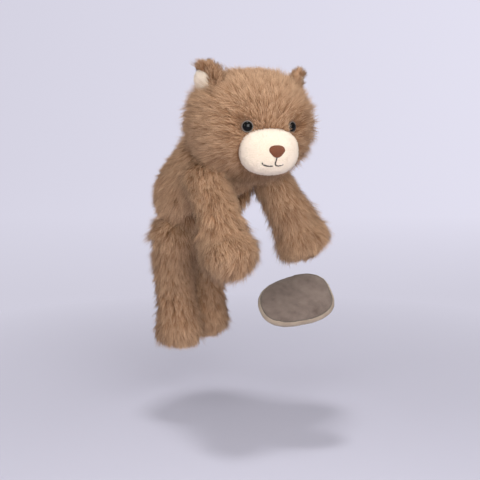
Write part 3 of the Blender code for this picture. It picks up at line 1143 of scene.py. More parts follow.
@dataclass
class Torso:
    """The torso's stuffed body, its pile, and the pocket in its belly.

    Places along the torso run from -1 at the rump to 1 at the neck.
    """

    finishes: Finishes
    box: Box
    length: float = 0.134
    width: float = 0.090
    depth: float = 0.072
    taper: float = 0.08
    fullness: float = 3.0
    pitch: float = math.radians(45)
    socket: float = 0.0187
    covered_from: float = 0.94
    rump_from: float = 0.85
    rump_facing: float = 0.3
    back_loss: float = 0.62
    back_to: float = 0.7
    belly_loss: float = 0.50
    belly_half: float = 0.028
    belly_edge: float = 0.012
    hip_gain: float = 0.12
    brushed: tuple[float, float] = (0.7, 0.6)
    pile: Pile = Pile(length=0.0175, rise=38.0)

    def local(self, points: np.ndarray) -> np.ndarray:
        """Takes points into the torso's frame, with the neck up."""
        return turned(Matrix.Rotation(-self.pitch, 4, "X") @ Matrix.Translation(-TORSO_CENTRE), points)

    def reach(self, points: np.ndarray) -> np.ndarray:
        """Tells how far out of the torso's middle points lie.

        Args:
            points: One row for each point.

        Returns:
            1 on its surface, less inside and more outside.
        """
        local = self.local(points)
        share = np.clip(local[:, 2] / (self.length / 2), -0.9999, 0.9999)
        full = np.sqrt(1 - np.abs(share) ** self.fullness) * (1 - self.taper * share)
        return np.hypot(local[:, 0] / (self.width / 2), local[:, 1] / (self.depth / 2)) / full

    def flow(self, points: np.ndarray, _normals: np.ndarray) -> np.ndarray:
        """Brushes the pile from the neck to the rump and down.

        Args:
            points: One row for each point.
            _normals: The way out at each point, which isn't needed.

        Returns:
            One way for each point.
        """
        rump = np.array((0.0, math.sin(self.pitch), -math.cos(self.pitch)))
        back, down = self.brushed
        return np.broadcast_to(rump * back + np.array((0.0, 0.0, -down)), points.shape)

    def measure(self, points: np.ndarray, normals: np.ndarray) -> np.ndarray:
        """Leaves the pocket and the sockets bare, and is short on the back and the belly.

        Args:
            points: One row for each point.
            normals: The way out at each point.

        Returns:
            The pile's share at each point.
        """
        along = self.local(points)[:, 2] / (self.length / 2)
        from_hip = np.column_stack((np.abs(points[:, 0]), points[:, 1:])) - np.array(SHOULDERS + LEG_JOINT)
        free = np.linalg.norm(from_hip, axis=1) > self.socket
        rump = (along < -self.rump_from) & (normals[:, 1] > self.rump_facing) & free
        covered = ((self.reach(points) > self.covered_from) | rump).astype(float)
        back = 1 - self.back_loss * np.clip(normals[:, 1], 0, 1) * np.clip(self.back_to - along, 0, 1)
        belly = np.clip(-normals @ np.array((0.0, 0.6, 0.8)), 0, 1)
        belly *= np.clip((self.belly_half - np.abs(points[:, 0])) / self.belly_edge, 0, 1)
        aside = np.clip(np.abs(normals[:, 0]) * 1.5, 0, 1)
        hips = 1 + self.hip_gain * aside * np.clip(-along * 1.5, 0, 1)
        uneven = 1 + UNEVENNESS * waves(points, 0.04, 5)
        return covered * back * (1 - self.belly_loss * belly) * hips * uneven

    def build(self) -> None:
        """Makes the stuffed body with its pile and the pocket."""
        body = stuffed_form("torso_body", ("torso_cover", "torso_stuffing"), voxel=0.0025, shrink=0.0005)
        dress(body, self.finishes.shaded_ground_cloth)
        fleece = (body, self.flow, self.measure, self.finishes.long_pile, self.box)
        self.pile.grow("torso_pile", *fleece, seed=11, pieces=2)
        self.pile.guard.grow("torso_guard_hair", *fleece, seed=12)
        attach(body, "torso")
        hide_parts("torso_cover", "torso_stuffing")
        pouch = copied_solid("pocket_pouch", ("pocket_lining",))
        dress(pouch, self.finishes.pocket)
        remeshed(pouch, voxel=0.0015)
        worked(pouch, "SMOOTH", factor=0.5, iterations=2)
        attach(pouch, "torso")
        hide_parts("pocket_lining")
        dress(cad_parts["hook_tape"], self.finishes.hook)
        dress(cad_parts["loop_tape"], self.finishes.loop)


@dataclass(frozen=True)
class EarTrim:
    """What differs between the ears: how one stands, and how its lining and its pile are cut."""

    height: float
    lean: float
    lining_across: float
    lining_growth: float
    lined_inner: float
    lined_outer: float
    outer_loss: float
    tall: float


@dataclass
class Head:
    """The head's stuffed body with its pile, and all that is sewn on the face.

    Places are in the face's frame: metres from the head's centre, the face towards -Y.
    """

    finishes: Finishes
    box: Box
    torso: Torso
    radius: float = 0.055
    muzzle_place: Vector = Vector((0.0, -0.0505, -0.0225))
    muzzle_half: Vector = Vector((0.0292, 0.021, 0.0225))
    muzzle_squareness: float = 2.35
    muzzle_seam: float = 0.0022
    eye_azimuth: float = math.radians(25)
    eye_height: float = 0.001
    eye_radius: float = 0.0050
    eye_dome: float = 0.0034
    eye_rim: float = 0.00045
    eye_clearing: ClassVar[dict[Side, float]] = {Side.RIGHT: 0.010, Side.LEFT: 0.005}
    eye_seat: float = 0.0008
    brow_clearing: float = 0.004
    brow_run: float = 0.006
    ear_span: float = 0.046
    ear_forward: float = 0.003
    ear_turn: float = math.radians(63)
    ear_trim: ClassVar[dict[Side, EarTrim]] = {
        Side.RIGHT: EarTrim(
            height=0.0390,
            lean=20.0,
            lining_across=0.0020,
            lining_growth=1.02,
            lined_inner=0.80,
            lined_outer=1.05,
            outer_loss=0.85,
            tall=0.88,
        ),
        Side.LEFT: EarTrim(
            height=0.0360,
            lean=18.0,
            lining_across=-0.0010,
            lining_growth=0.95,
            lined_inner=0.72,
            lined_outer=0.72,
            outer_loss=0.0,
            tall=0.62,
        ),
    }
    ear_half: Vector = Vector((0.0145, 0.0055, 0.017))
    ear_surround_gain: float = 0.60
    ear_surround: float = 0.027
    lining_half: Vector = Vector((0.0105, 0.0025, 0.0115))
    lining_place: Vector = Vector((0.0, -0.00425, 0.0034))
    lining_drop: float = -0.0012
    tucked_share: float = 0.45
    muzzle_surround: float = 0.026
    surround_run: float = 0.018
    crown_loss: float = 0.30
    crown_from: float = 0.030
    crown_run: float = 0.018
    back_loss: float = 0.28
    back_from: float = -0.010
    back_run: float = 0.040
    nap_from: tuple[float, float, float] = (0.0, -0.07, -0.02)
    nose_half_width: float = 0.0091
    nose_half_height: float = 0.0054
    nose_drop: float = 0.0205
    nose_side: float = -0.0008
    nose_middle: float = 0.84
    nose_curve: tuple[float, float] = (2.6, 2.5)
    nose_lift: float = 0.0004
    nose_padding: float = 0.0016
    nose_bed: tuple[float, float] = (0.0085, 0.0050)
    nose_stitches: int = 30
    least_stitch: float = 0.0015
    stitch_radius: float = 0.00042
    mouth_thread: float = 0.00066
    mouth_lift: float = 0.0009
    mouth_bed: float = 0.0011
    mouth_left: tuple[tuple[float, float], ...] = (
        (-0.0140, -0.0314),
        (-0.0130, -0.0327),
        (-0.0098, -0.0340),
        (-0.0067, -0.0343),
        (-0.0038, -0.0342),
    )
    mouth_right: tuple[tuple[float, float], ...] = (
        (-0.0008, -0.0258),
        (-0.0012, -0.0288),
        (-0.0016, -0.0318),
        (-0.0006, -0.0333),
        (0.0015, -0.0339),
        (0.0041, -0.0336),
        (0.0067, -0.0327),
    )
    pile: Pile = Pile(density=0.92e6, length=0.0168, rise=42.0, lie=10.0)
    ear_pile: Pile = Pile(
        density=2.4e6,
        length=0.0125,
        width=0.00065,
        rise=46.0,
        lie=24.0,
        tuft=0.0026,
        gather=0.2,
        unruly=0.4,
        sag=0.0,
        tone=0.55,
    )
    cream_pile: Pile = Pile(
        density=2.3e6,
        length=0.0024,
        width=0.00055,
        rise=62.0,
        lie=25.0,
        tuft=0.0016,
        gather=0.3,
        sag=0.0,
        rings=((0.0, 1.0), (0.5, 0.8)),
    )

    @property
    def face(self) -> Matrix:
        """The face's frame, with the face towards -Y."""
        place = Matrix.Translation(HEAD_CENTRE)
        return place @ Matrix.Rotation(HEAD_TURN, 4, "Z") @ Matrix.Rotation(FACE_ROLL, 4, "Y")

    def ear_frame(self, side: Side) -> Matrix:
        """Gives an ear's frame, with its front towards -Y and its tip up.

        Args:
            side: The ear's side.

        Returns:
            The frame.
        """
        trim = self.ear_trim[side]
        place = Matrix.Translation((side.value * self.ear_span, -self.ear_forward, trim.height))
        lean = Matrix.Rotation(side.value * math.radians(trim.lean), 4, "Y")
        return self.face @ place @ lean @ Matrix.Rotation(side.value * self.ear_turn, 4, "Z")

    def eye_place(self, side: Side) -> tuple[Vector, Vector]:
        """Gives an eye's place on the head's cover and the way it looks, in the face's frame.

        Args:
            side: The eye's side.

        Returns:
            The place and the way.
        """
        out = Vector((side.value * math.sin(self.eye_azimuth), -math.cos(self.eye_azimuth), 0.0))
        return out * self.radius + Vector((0.0, 0.0, self.eye_height)), out

    def to_face(self, points: np.ndarray) -> np.ndarray:
        """Takes points into the face's frame."""
        return turned(self.face.inverted(), points)

    def flow(self, points: np.ndarray, _normals: np.ndarray) -> np.ndarray:
        """Brushes the pile away from the muzzle, then down at the back and the cheeks.

        Args:
            points: One row for each point.
            _normals: The way out at each point, which isn't needed.

        Returns:
            One way for each point.
        """
        local = self.to_face(points)
        away = unit(local - np.array(self.muzzle_place) - np.array((0.0, 0.012, 0.004)))
        behind = np.clip((local[:, 1:2] + 0.01) / 0.04, 0, 1)
        ways = away * (1 - 0.5 * behind) + np.array((0.0, 0.0, -1.0)) * (0.25 + 0.55 * behind)
        return ways @ np.array(self.face)[:3, :3].T

    def around_eye(self, local: np.ndarray, side: Side) -> np.ndarray:
        """Gives the pile's share around an eye, 0 on it and more away from it and under the brow.

        Args:
            local: One row for each point, in the face's frame.
            side: The eye's side.

        Returns:
            One share for each point.
        """
        place, _ = self.eye_place(side)
        gap = np.linalg.norm(local - np.array(place), axis=1) - self.eye_radius - self.eye_seat
        above = np.clip((local[:, 2] - place.z) / self.brow_run, 0, 1)
        return np.clip(gap / (self.eye_clearing[side] + self.brow_clearing * above), 0, 1) ** 0.7

    def measure(self, points: np.ndarray, _normals: np.ndarray) -> np.ndarray:
        """Leaves the eyes, the muzzle and the ears' feet bare, and is short by the face and the torso.

        Args:
            points: One row for each point.
            _normals: The way out at each point, which isn't needed.

        Returns:
            The pile's share at each point.
        """
        local = self.to_face(points)
        offset = (local - np.array(self.muzzle_place)) / (np.array(self.muzzle_half) - self.muzzle_seam)
        share = (np.linalg.norm(offset, axis=1) > 1).astype(float)
        for side in Side:
            share *= self.around_eye(local, side)
            foot = turned(self.ear_frame(side).inverted(), points)
            share *= np.linalg.norm(foot / (np.array(self.ear_half) * 0.9), axis=1) > 1
            near = np.linalg.norm(foot, axis=1) / self.ear_surround
            share *= 1 + self.ear_surround_gain * np.exp(-(near**2))
        share *= np.where(self.torso.reach(points) > 1.0, 1.0, self.tucked_share)
        beside = np.linalg.norm(offset * np.array(self.muzzle_half), axis=1) - self.muzzle_surround
        share *= 0.55 + 0.45 * np.clip(beside / self.surround_run, 0, 1)
        share *= 1 - self.crown_loss * np.clip((local[:, 2] - self.crown_from) / self.crown_run, 0, 1)
        share *= 1 - self.back_loss * np.clip((local[:, 1] - self.back_from) / self.back_run, 0, 1)
        return share * (1 + UNEVENNESS * waves(points, 0.04, 6))

    def ear_flow(self, side: Side) -> Field:
        """Gives the way an ear's pile is brushed: out from its foot."""
        foot = np.array(self.ear_frame(side) @ Vector((0.0, 0.0, -0.014)))
        return lambda points, _normals: unit(points - foot)

    def ear_measure(self, side: Side) -> Field:
        """Gives where an ear has pile: all but its lining and its foot in the head.

        Args:
            side: The ear's side.

        Returns:
            What gives the pile's share at points.
        """
        inward, trim = self.ear_frame(side).inverted(), self.ear_trim[side]

        def share(points: np.ndarray, _normals: np.ndarray) -> np.ndarray:
            """Gives the pile's share at points.

            Args:
                points: One row for each point.
                _normals: The way out at each point, which isn't needed.

            Returns:
                One share for each point.
            """
            local = turned(inward, points)
            across = local[:, 0] / self.lining_half.x
            up = (local[:, 2] - self.lining_place.z) / self.lining_half.z
            edge = np.where(side.value * local[:, 0] < 0, trim.lined_inner, trim.lined_outer)
            lined = (np.hypot(across, up) < edge) & (local[:, 1] < -0.0005)
            outside = np.linalg.norm(points - np.array(HEAD_CENTRE), axis=1) > self.radius * 0.97
            outer = np.clip(side.value * local[:, 0] / 0.008, 0, 1) * (local[:, 2] < 0.011)
            bare = 1 - trim.outer_loss * outer
            return (~lined & outside) * bare * trim.tall * (1 + 0.4 * waves(points, 0.012, 8))

        return share

    def build(self) -> None:
        """Makes the head and everything on it."""
        body = stuffed_form("head_body", ("head_cover", "head_stuffing"), voxel=0.0028, shrink=0.0003)
        dress(body, self.finishes.shaded_ground_cloth)
        fleece = (body, self.flow, self.measure, self.finishes.long_pile, self.box)
        self.pile.grow("head_pile", *fleece, seed=21, pieces=3)
        self.pile.guard.grow("head_guard_hair", *fleece, seed=22, pieces=2)
        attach(body, "head")
        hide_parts("head_cover", "head_stuffing")
        for side in Side:
            self.build_eye(side)
            self.build_ear(side)
            dress(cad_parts[f"eye_washer_{side.label}"], self.finishes.washer)
        self.build_muzzle()

    def build_eye(self, side: Side) -> None:
        """Makes an eye: a polished dome in a thin grey ring, which is painted reflection of the fur at the
        dome's edge.

        Args:
            side: The eye's side.
        """
        place, out = self.eye_place(side)
        turn = Vector((0, 0, 1)).rotation_difference(out).to_matrix().to_4x4()
        stand = self.face @ Matrix.Translation(place) @ turn
        choose()
        bpy.ops.mesh.primitive_uv_sphere_add(segments=40, ring_count=24, radius=1.0)
        dome = bpy.context.active_object
        dome.name = dome.data.name = f"eye_{side.label}_dome"
        dome.data.transform(stand @ Matrix.Diagonal((self.eye_radius, self.eye_radius, self.eye_dome, 1.0)))
        dome.data.shade_smooth()
        dress(dome, self.finishes.eye)
        # The grey ring at the dome's edge is painted reflection of the fur round it.
        bpy.ops.mesh.primitive_torus_add(
            major_segments=48,
            minor_segments=10,
            major_radius=self.eye_radius * 1.03,
            minor_radius=self.eye_rim,
        )
        rim = bpy.context.active_object
        rim.name = rim.data.name = f"eye_{side.label}_rim"
        rim.data.transform(stand @ Matrix.Translation((0, 0, 0.0006)))
        rim.data.shade_smooth()
        dress(rim, self.finishes.eye_rim)
        rim.parent = dome
        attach(dome, "head")
        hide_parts(f"eye_{side.label}")

    def build_ear(self, side: Side) -> None:
        """Makes an ear: its plush back with pile, and the cream lining.

        Args:
            side: The ear's side.
        """
        back = stuffed_form(f"ear_{side.label}_body", (f"ear_{side.label}",), voxel=0.0012, shrink=0.0)
        dress(back, self.finishes.shaded_ground_cloth)
        self.ear_pile.grow(
            f"ear_{side.label}_pile",
            back,
            self.ear_flow(side),
            self.ear_measure(side),
            self.finishes.long_pile,
            self.box,
            seed=31 + side.value,
        )
        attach(back, "head")
        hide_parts(f"ear_{side.label}")
        nodes = (f"ear_lining_{side.label}",)
        lining = stuffed_form(f"ear_{side.label}_lining_body", nodes, voxel=0.0009, shrink=-0.0003)
        stand, trim = self.ear_frame(side), self.ear_trim[side]
        shift = Matrix.Translation((side.value * trim.lining_across, 0.0, self.lining_drop))
        lining.data.transform(stand @ shift @ Matrix.Scale(trim.lining_growth, 4) @ stand.inverted())
        dress(lining, self.finishes.shaded_cream_cloth)
        self.cream_pile.grow(
            f"ear_{side.label}_lining_pile",
            lining,
            self.ear_flow(side),
            lambda points, _normals: np.ones(len(points)),
            self.finishes.cream_pile,
            self.box,
            seed=41 + side.value,
        )
        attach(lining, "head")
        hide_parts(f"ear_lining_{side.label}")

    def build_muzzle(self) -> None:
        """Makes the muzzle with its nap, the nose and the mouth."""
        choose()
        bpy.ops.mesh.primitive_uv_sphere_add(segments=48, ring_count=32, radius=1.0)
        body = bpy.context.active_object
        body.name = body.data.name = "muzzle_body"
        ball = points_of(body)
        full = (np.abs(ball[:, [0, 2]]) ** self.muzzle_squareness).sum(1) + np.abs(ball[:, 1]) ** 2
        ball *= full[:, None] ** (-1 / self.muzzle_squareness)
        set_points(body, ball * (np.array(self.muzzle_half) - 0.0008))
        body.data.transform(self.face @ Matrix.Translation(self.muzzle_place))
        remeshed(body, voxel=0.0030)
        puffed(body, pressure=3.0, cap=0.0014)
        worked(body, "SUBSURF", levels=1, render_levels=1)
        dress(body, self.finishes.shaded_cream_cloth)

        def away(points: np.ndarray, _normals: np.ndarray) -> np.ndarray:
            """Brushes the nap out from the nose and down."""
            ways = unit(self.to_face(points) - np.array(self.nap_from))
            return ways @ np.array(self.face)[:3, :3].T

        def outside(points: np.ndarray, _normals: np.ndarray) -> np.ndarray:
            """Leaves bare what is inside the head, under the nose and under the mouth.

            Args:
                points: One row for each point.
                _normals: The way out at each point, which isn't needed.

            Returns:
                One share for each point.
            """
            local = self.to_face(points)
            clear = np.linalg.norm(local, axis=1) > self.radius * 0.93
            front = local[:, 1] < self.muzzle_place.y
            wide, tall = self.nose_bed
            nose = np.hypot(local[:, 0] / wide, (local[:, 2] + self.nose_drop) / tall) < 1
            lips = np.array(self.mouth_left + self.mouth_right)
            lips = np.concatenate((lips, (lips[1:] + lips[:-1]) / 2))
            near = np.linalg.norm(local[:, None, [0, 2]] - lips[None], axis=2).min(1) < self.mouth_bed
            return (clear & ~(front & (nose | near))).astype(float)

        nap = (body, away, outside, self.finishes.cream_pile, self.box)
        self.cream_pile.grow("muzzle_pile", *nap, seed=51)
        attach(body, "head")
        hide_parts("muzzle_cover", "muzzle_stuffing")
        surface = BVHTree.FromObject(body, bpy.context.evaluated_depsgraph_get())
        self.build_nose(surface)
        self.build_mouth(surface)

    def on_muzzle(self, surface: BVHTree, across: float, height: float, lift: float) -> Vector:
        """Finds a point on the muzzle's front.

        Args:
            surface: The muzzle's faces.
            across: How far from the middle.
            height: How far over the head's centre.
            lift: How far off the surface.

        Returns:
            The point, in the frame of the solids.
        """
        start = self.face @ Vector((across, -0.15, height))
        way = self.face.to_3x3() @ Vector((0.0, 1.0, 0.0))
        hit, normal, _, _ = surface.ray_cast(start, way)
        return hit + normal * lift

    def build_nose(self, surface: BVHTree) -> None:
        """Makes the nose of upright satin stitches, laid side by side over a padded triangle.

        Args:
            surface: The muzzle's faces.
        """
        stitches = []
        half_width, half_height = self.nose_half_width, self.nose_half_height
        for number in range(self.nose_stitches):
            share = (number + 0.5) / self.nose_stitches * 2 - 1
            top = half_height * math.sqrt(max(0.0, 1 - abs(share) ** self.nose_curve[0]))
            bottom = -half_height * max(0.0, 1 - abs(share) ** self.nose_curve[1]) - 0.0002
            if top - bottom < self.least_stitch:
                bottom = top - self.least_stitch
            path = []
            for step in range(7):
                along = step / 6
                height = top + (bottom - top) * along
                swell = math.sqrt(max(0.0, 1 - share**2 * 0.8)) * math.sin(math.pi * (0.12 + 0.76 * along))
                reach = self.nose_middle + (1 - self.nose_middle) * height / 0.006
                across = self.nose_side + share * half_width * reach
                lift = self.nose_lift + self.nose_padding * swell
                path.append(self.on_muzzle(surface, across, height - self.nose_drop, lift))
            stitches.append(thread("nose_stitch", path, self.stitch_radius))
        nose = dress(joined("nose_stitches", stitches), self.finishes.nose)
        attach(nose, "head")
        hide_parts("nose")

    def build_mouth(self, surface: BVHTree) -> None:
        """Makes the mouth and the line under the nose as thick backstitched thread.

        Args:
            surface: The muzzle's faces.
        """
        pieces = []
        for name, way in (("mouth_line", self.mouth_left), ("lip_line", self.mouth_right)):
            path = [self.on_muzzle(surface, across, height, self.mouth_lift) for across, height in way]
            pieces.append(thread(name, path, self.mouth_thread))
        mouth = dress(joined("mouth_thread", pieces), self.finishes.mouth)
        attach(mouth, "head")
        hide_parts("mouth_stitching")


@dataclass
class Limb:
    """An arm or a leg: its stuffed body and the pile that falls along it.

    The run along the lower half is 0 at the bend and 1 at the end's middle.
    """

    finishes: Finishes
    box: Box
    torso: Torso
    kind: LimbKind
    side: Side
    joint: ClassVar[dict[LimbKind, Vector]] = {LimbKind.ARM: ARM_JOINT, LimbKind.LEG: LEG_JOINT}
    halves: ClassVar[dict[LimbKind, tuple[float, float]]] = {
        LimbKind.ARM: (0.033, 0.046),
        LimbKind.LEG: (0.040, 0.055),
    }
    leans: ClassVar[dict[tuple[LimbKind, Side], tuple[float, float]]] = {
        (LimbKind.ARM, Side.RIGHT): (34, 34),
        (LimbKind.ARM, Side.LEFT): (30, 22),
        (LimbKind.LEG, Side.RIGHT): (-4, 6),
        (LimbKind.LEG, Side.LEFT): (-9, -1),
    }
    splays: ClassVar[dict[tuple[LimbKind, Side], tuple[float, float]]] = {
        (LimbKind.ARM, Side.RIGHT): (9, 11),
        (LimbKind.ARM, Side.LEFT): (13, 17),
        (LimbKind.LEG, Side.RIGHT): (0, 0),
        (LimbKind.LEG, Side.LEFT): (0, 0),
    }
    paw_radius: float = 0.0208
    seated_from: float = 0.80
    seated_run: float = 0.22
    joint_share: float = 0.84
    bend_run: float = 0.03
    drop: float = 0.25
    wrist_at: float = 0.35
    wrist_run: float = 0.28
    wrist_gain: ClassVar[dict[LimbKind, float]] = {LimbKind.ARM: 0.35, LimbKind.LEG: -0.38}
    thigh_gain: float = 0.30
    end_run: float = 0.012
    end_loss: ClassVar[dict[tuple[LimbKind, Side], float]] = {
        (LimbKind.ARM, Side.RIGHT): 0.15,
        (LimbKind.ARM, Side.LEFT): 0.45,
        (LimbKind.LEG, Side.RIGHT): -0.15,
        (LimbKind.LEG, Side.LEFT): 0.05,
    }
    pile: Pile = Pile(length=0.0165, rise=38.0, sag=0.0015)
    # The legs' pile is a darker tone than the arms': partly the fur's own colour, partly painted shade where
    # the legs get less light.
    leg_pile: Pile = Pile(length=0.0165, rise=38.0, sag=0.0015, tuft=0.0046, gather=0.42, tone=0.57)

    def axis(self) -> list[np.ndarray]:
        """Gives the limb's joint, bend and end.

        Returns:
            The three points.
        """
        joint, which = self.joint[self.kind], (self.kind, self.side)
        point = SHOULDERS + Vector((self.side.value * joint.x, joint.y, joint.z))
        found = [np.array(point)]
        for length, lean, splay in zip(self.halves[self.kind], self.leans[which], self.splays[which]):
            lean, splay = math.radians(lean), math.radians(splay)
            ahead = Vector((0.0, -math.sin(lean), -math.cos(lean))) * math.cos(splay)
            point = point + (ahead + Vector((self.side.value * math.sin(splay), 0.0, 0.0))) * length
            found.append(np.array(point))
        return found

    def flow(self, points: np.ndarray, _normals: np.ndarray) -> np.ndarray:
        """Brushes the pile from the joint to the end and down, and out from the crown of a paw.

        Args:
            points: One row for each point.
            _normals: The way out at each point, which isn't needed.

        Returns:
            One way for each point.
        """
        joint, bend, end = self.axis()
        upper, lower = unit((bend - joint)[None])[0], unit((end - bend)[None])[0]
        share = np.clip((points - bend) @ (upper + lower) / self.bend_run + 0.5, 0, 1)[:, None]
        ways = upper * (1 - share) + lower * share + np.array((0.0, 0.0, -self.drop))
        if self.kind is LimbKind.LEG:
            return ways
        run = (points - bend) @ lower / np.linalg.norm(end - bend)
        crown = end + np.cross(lower, np.array((1.0, 0.0, 0.0))) * self.paw_radius
        away = unit(points - crown)
        fan = (np.clip((run - 0.8) / 0.4, 0, 1) * np.clip(away @ lower * 1.5, 0, 1))[:, None]
        return ways * (1 - fan) + away * fan

    def measure(self, points: np.ndarray, _normals: np.ndarray) -> np.ndarray:
        """Leaves bare what is inside the torso, and shapes the wrist, the thigh and the end.

        Args:
            points: One row for each point.
            _normals: The way out at each point, which isn't needed.

        Returns:
            The pile's share at each point.
        """
        _, bend, end = self.axis()
        length = np.linalg.norm(end - bend)
        run = (points - bend) @ unit((end - bend)[None])[0] / length
        beyond = np.clip((run - 1.0) * length / self.end_run, 0, 1)
        seated = np.clip((self.torso.reach(points) - self.seated_from) / self.seated_run, 0, 1)
        share = seated * (self.joint_share + (1 - self.joint_share) * np.clip(run, 0, 1))
        share *= 1 - self.end_loss[self.kind, self.side] * beyond
        share *= 1 + self.wrist_gain[self.kind] * np.exp(-(((run - self.wrist_at) / self.wrist_run) ** 2))
        if self.kind is LimbKind.LEG:
            share *= 1 + self.thigh_gain * np.clip(-run * 2, 0, 1)
        return share * (1 + UNEVENNESS * waves(points, 0.03, 7))

    def build(self) -> None:
        """Makes the stuffed limb with its pile."""
        name = f"{self.kind.value}_{self.side.label}"
        nodes = (f"{name}_cover", f"{name}_stuffing")
        body = stuffed_form(f"{name}_body", nodes, voxel=0.0025, shrink=0.0005)
        dress(body, self.finishes.shaded_ground_cloth)
        seed = 61 + 2 * list(LimbKind).index(self.kind) + (self.side is Side.LEFT)
        fleece = (body, self.flow, self.measure, self.finishes.long_pile, self.box)
        pile = self.leg_pile if self.kind is LimbKind.LEG else self.pile
        pile.grow(f"{name}_pile", *fleece, seed=seed)
        pile.guard.grow(f"{name}_guard_hair", *fleece, seed=seed + 20)
        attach(body, name)
        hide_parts(f"{name}_cover", f"{name}_stuffing")


@dataclass
class WarmingPad:
    """The egg-shaped pad: velour faces, a beige band round its side, and a corded seam on each edge."""

    finishes: Finishes
    place: Vector = SHOULDERS + Vector((0.0, -0.0675, -0.1095))
    facing: float = math.radians(47)
    tilt: float = math.radians(44)
    spin: float = math.radians(17)
    band: float = 0.0080
    half_length: float = 0.038
    half_width: float = 0.028
    squareness: float = 2.6
    seam: float = 0.00055

    @property
    def stand(self) -> Matrix:
        """The pad's frame: length along X, width along Y, its upper face up.

        Returns:
            The frame.
        """
        facing = Vector((-math.sin(self.facing), -math.cos(self.facing), 0.0))
        across = Vector((math.cos(self.facing), -math.sin(self.facing), 0.0))
        top = facing * math.sin(self.tilt) + Vector((0, 0, 1)) * math.cos(self.tilt)
        level = Matrix((across, top.cross(across), top)).transposed().to_4x4()
        return Matrix.Translation(self.place) @ level @ Matrix.Rotation(self.spin, 4, "Z")

    def slab(self, name: str, cushion: bpy.types.Object, low: float, high: float) -> bpy.types.Object:
        """Cuts a closed slab out of the cushion between two heights.

        Args:
            name: The slab's name.
            cushion: The whole cushion.
            low: The lower height in the pad's frame.
            high: The upper one.

        Returns:
            The slab.
        """
        made = linked(name, cushion.data.copy())
        choose(made)
        up = self.stand.to_3x3() @ Vector((0, 0, 1))
        bpy.ops.object.mode_set(mode="EDIT")
        for height, inner in ((low, True), (high, False)):
            bpy.ops.mesh.select_all(action="SELECT")
            bpy.ops.mesh.bisect(
                plane_co=self.place + up * height,
                plane_no=up,
                use_fill=True,
                clear_inner=inner,
                clear_outer=not inner,
            )
        bpy.ops.object.mode_set(mode="OBJECT")
        return made

    def rim(self, cushion: bpy.types.Object, height: float, count: int = 64) -> list[Vector]:
        """Finds the cushion's outline at a height.

        Args:
            cushion: The whole cushion.
            height: The height in the pad's frame.
            count: How many points.

        Returns:
            The outline's points, in order.
        """
        surface = BVHTree.FromObject(cushion, bpy.context.evaluated_depsgraph_get())
        stand, found = self.stand, []
        for number in range(count):
            angle = 2 * math.pi * number / count
            out = Vector((math.cos(angle), math.sin(angle), 0.0))
            start = stand @ (out * 0.1 + Vector((0, 0, height)))
            hit, _, _, _ = surface.ray_cast(start, stand.to_3x3() @ -out)
            found.append(hit)
        return found

    def build(self) -> None:
        """Makes the cushion by simulation, then its covers, band and seams."""
        nodes = ("pad_top_cover", "pad_side_band", "pad_bottom_cover", "pad_filling")
        cushion = largest_part(remeshed(copied_solid("pad_cushion", nodes), voxel=0.0020))
        worked(cushion, "SMOOTH", factor=0.5, iterations=2)
        puffed(cushion, pressure=4.0, cap=0.0014)
        local = turned(self.stand.inverted(), points_of(cushion))
        shares = unit(local[:, :2] / (self.half_length, self.half_width))
        local[:, :2] *= (np.abs(shares) ** self.squareness).sum(1)[:, None] ** (-1 / self.squareness)
        set_points(cushion, turned(self.stand, local))
        worked(cushion, "SUBSURF", levels=1, render_levels=1)
        half, past = self.band / 2, 0.05
        outlines = {name: self.rim(cushion, height) for name, height in (("upper", half), ("lower", -half))}
        covers = (
            ("pad_top", half, past, "pad_top_cover", "pad_velour", self.finishes.velour),
            ("pad_band", -half, half, "pad_side_band", "band_velour", self.finishes.band),
            ("pad_bottom", -past, -half, "pad_bottom_cover", "pad_velour", self.finishes.velour),
        )
        for name, low, high, node, slot, finish in covers:
            piece = dress(self.slab(name, cushion, low, high), finish)
            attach(piece, "pad")
            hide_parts(node)
        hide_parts("pad_filling")
        for name, outline in outlines.items():
            seam = dress(thread(f"pad_seam_{name}", outline, self.seam, closed=True), self.finishes.welt)
            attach(seam, "pad")
        bpy.data.objects.remove(cushion)


@dataclass(frozen=True)
class Lamp:
    """A square area lamp, aimed at the shoulders."""

    name: str
    to_camera: float
    right: float
    up: float
    size: float
    power: float
    spread: float = 180.0


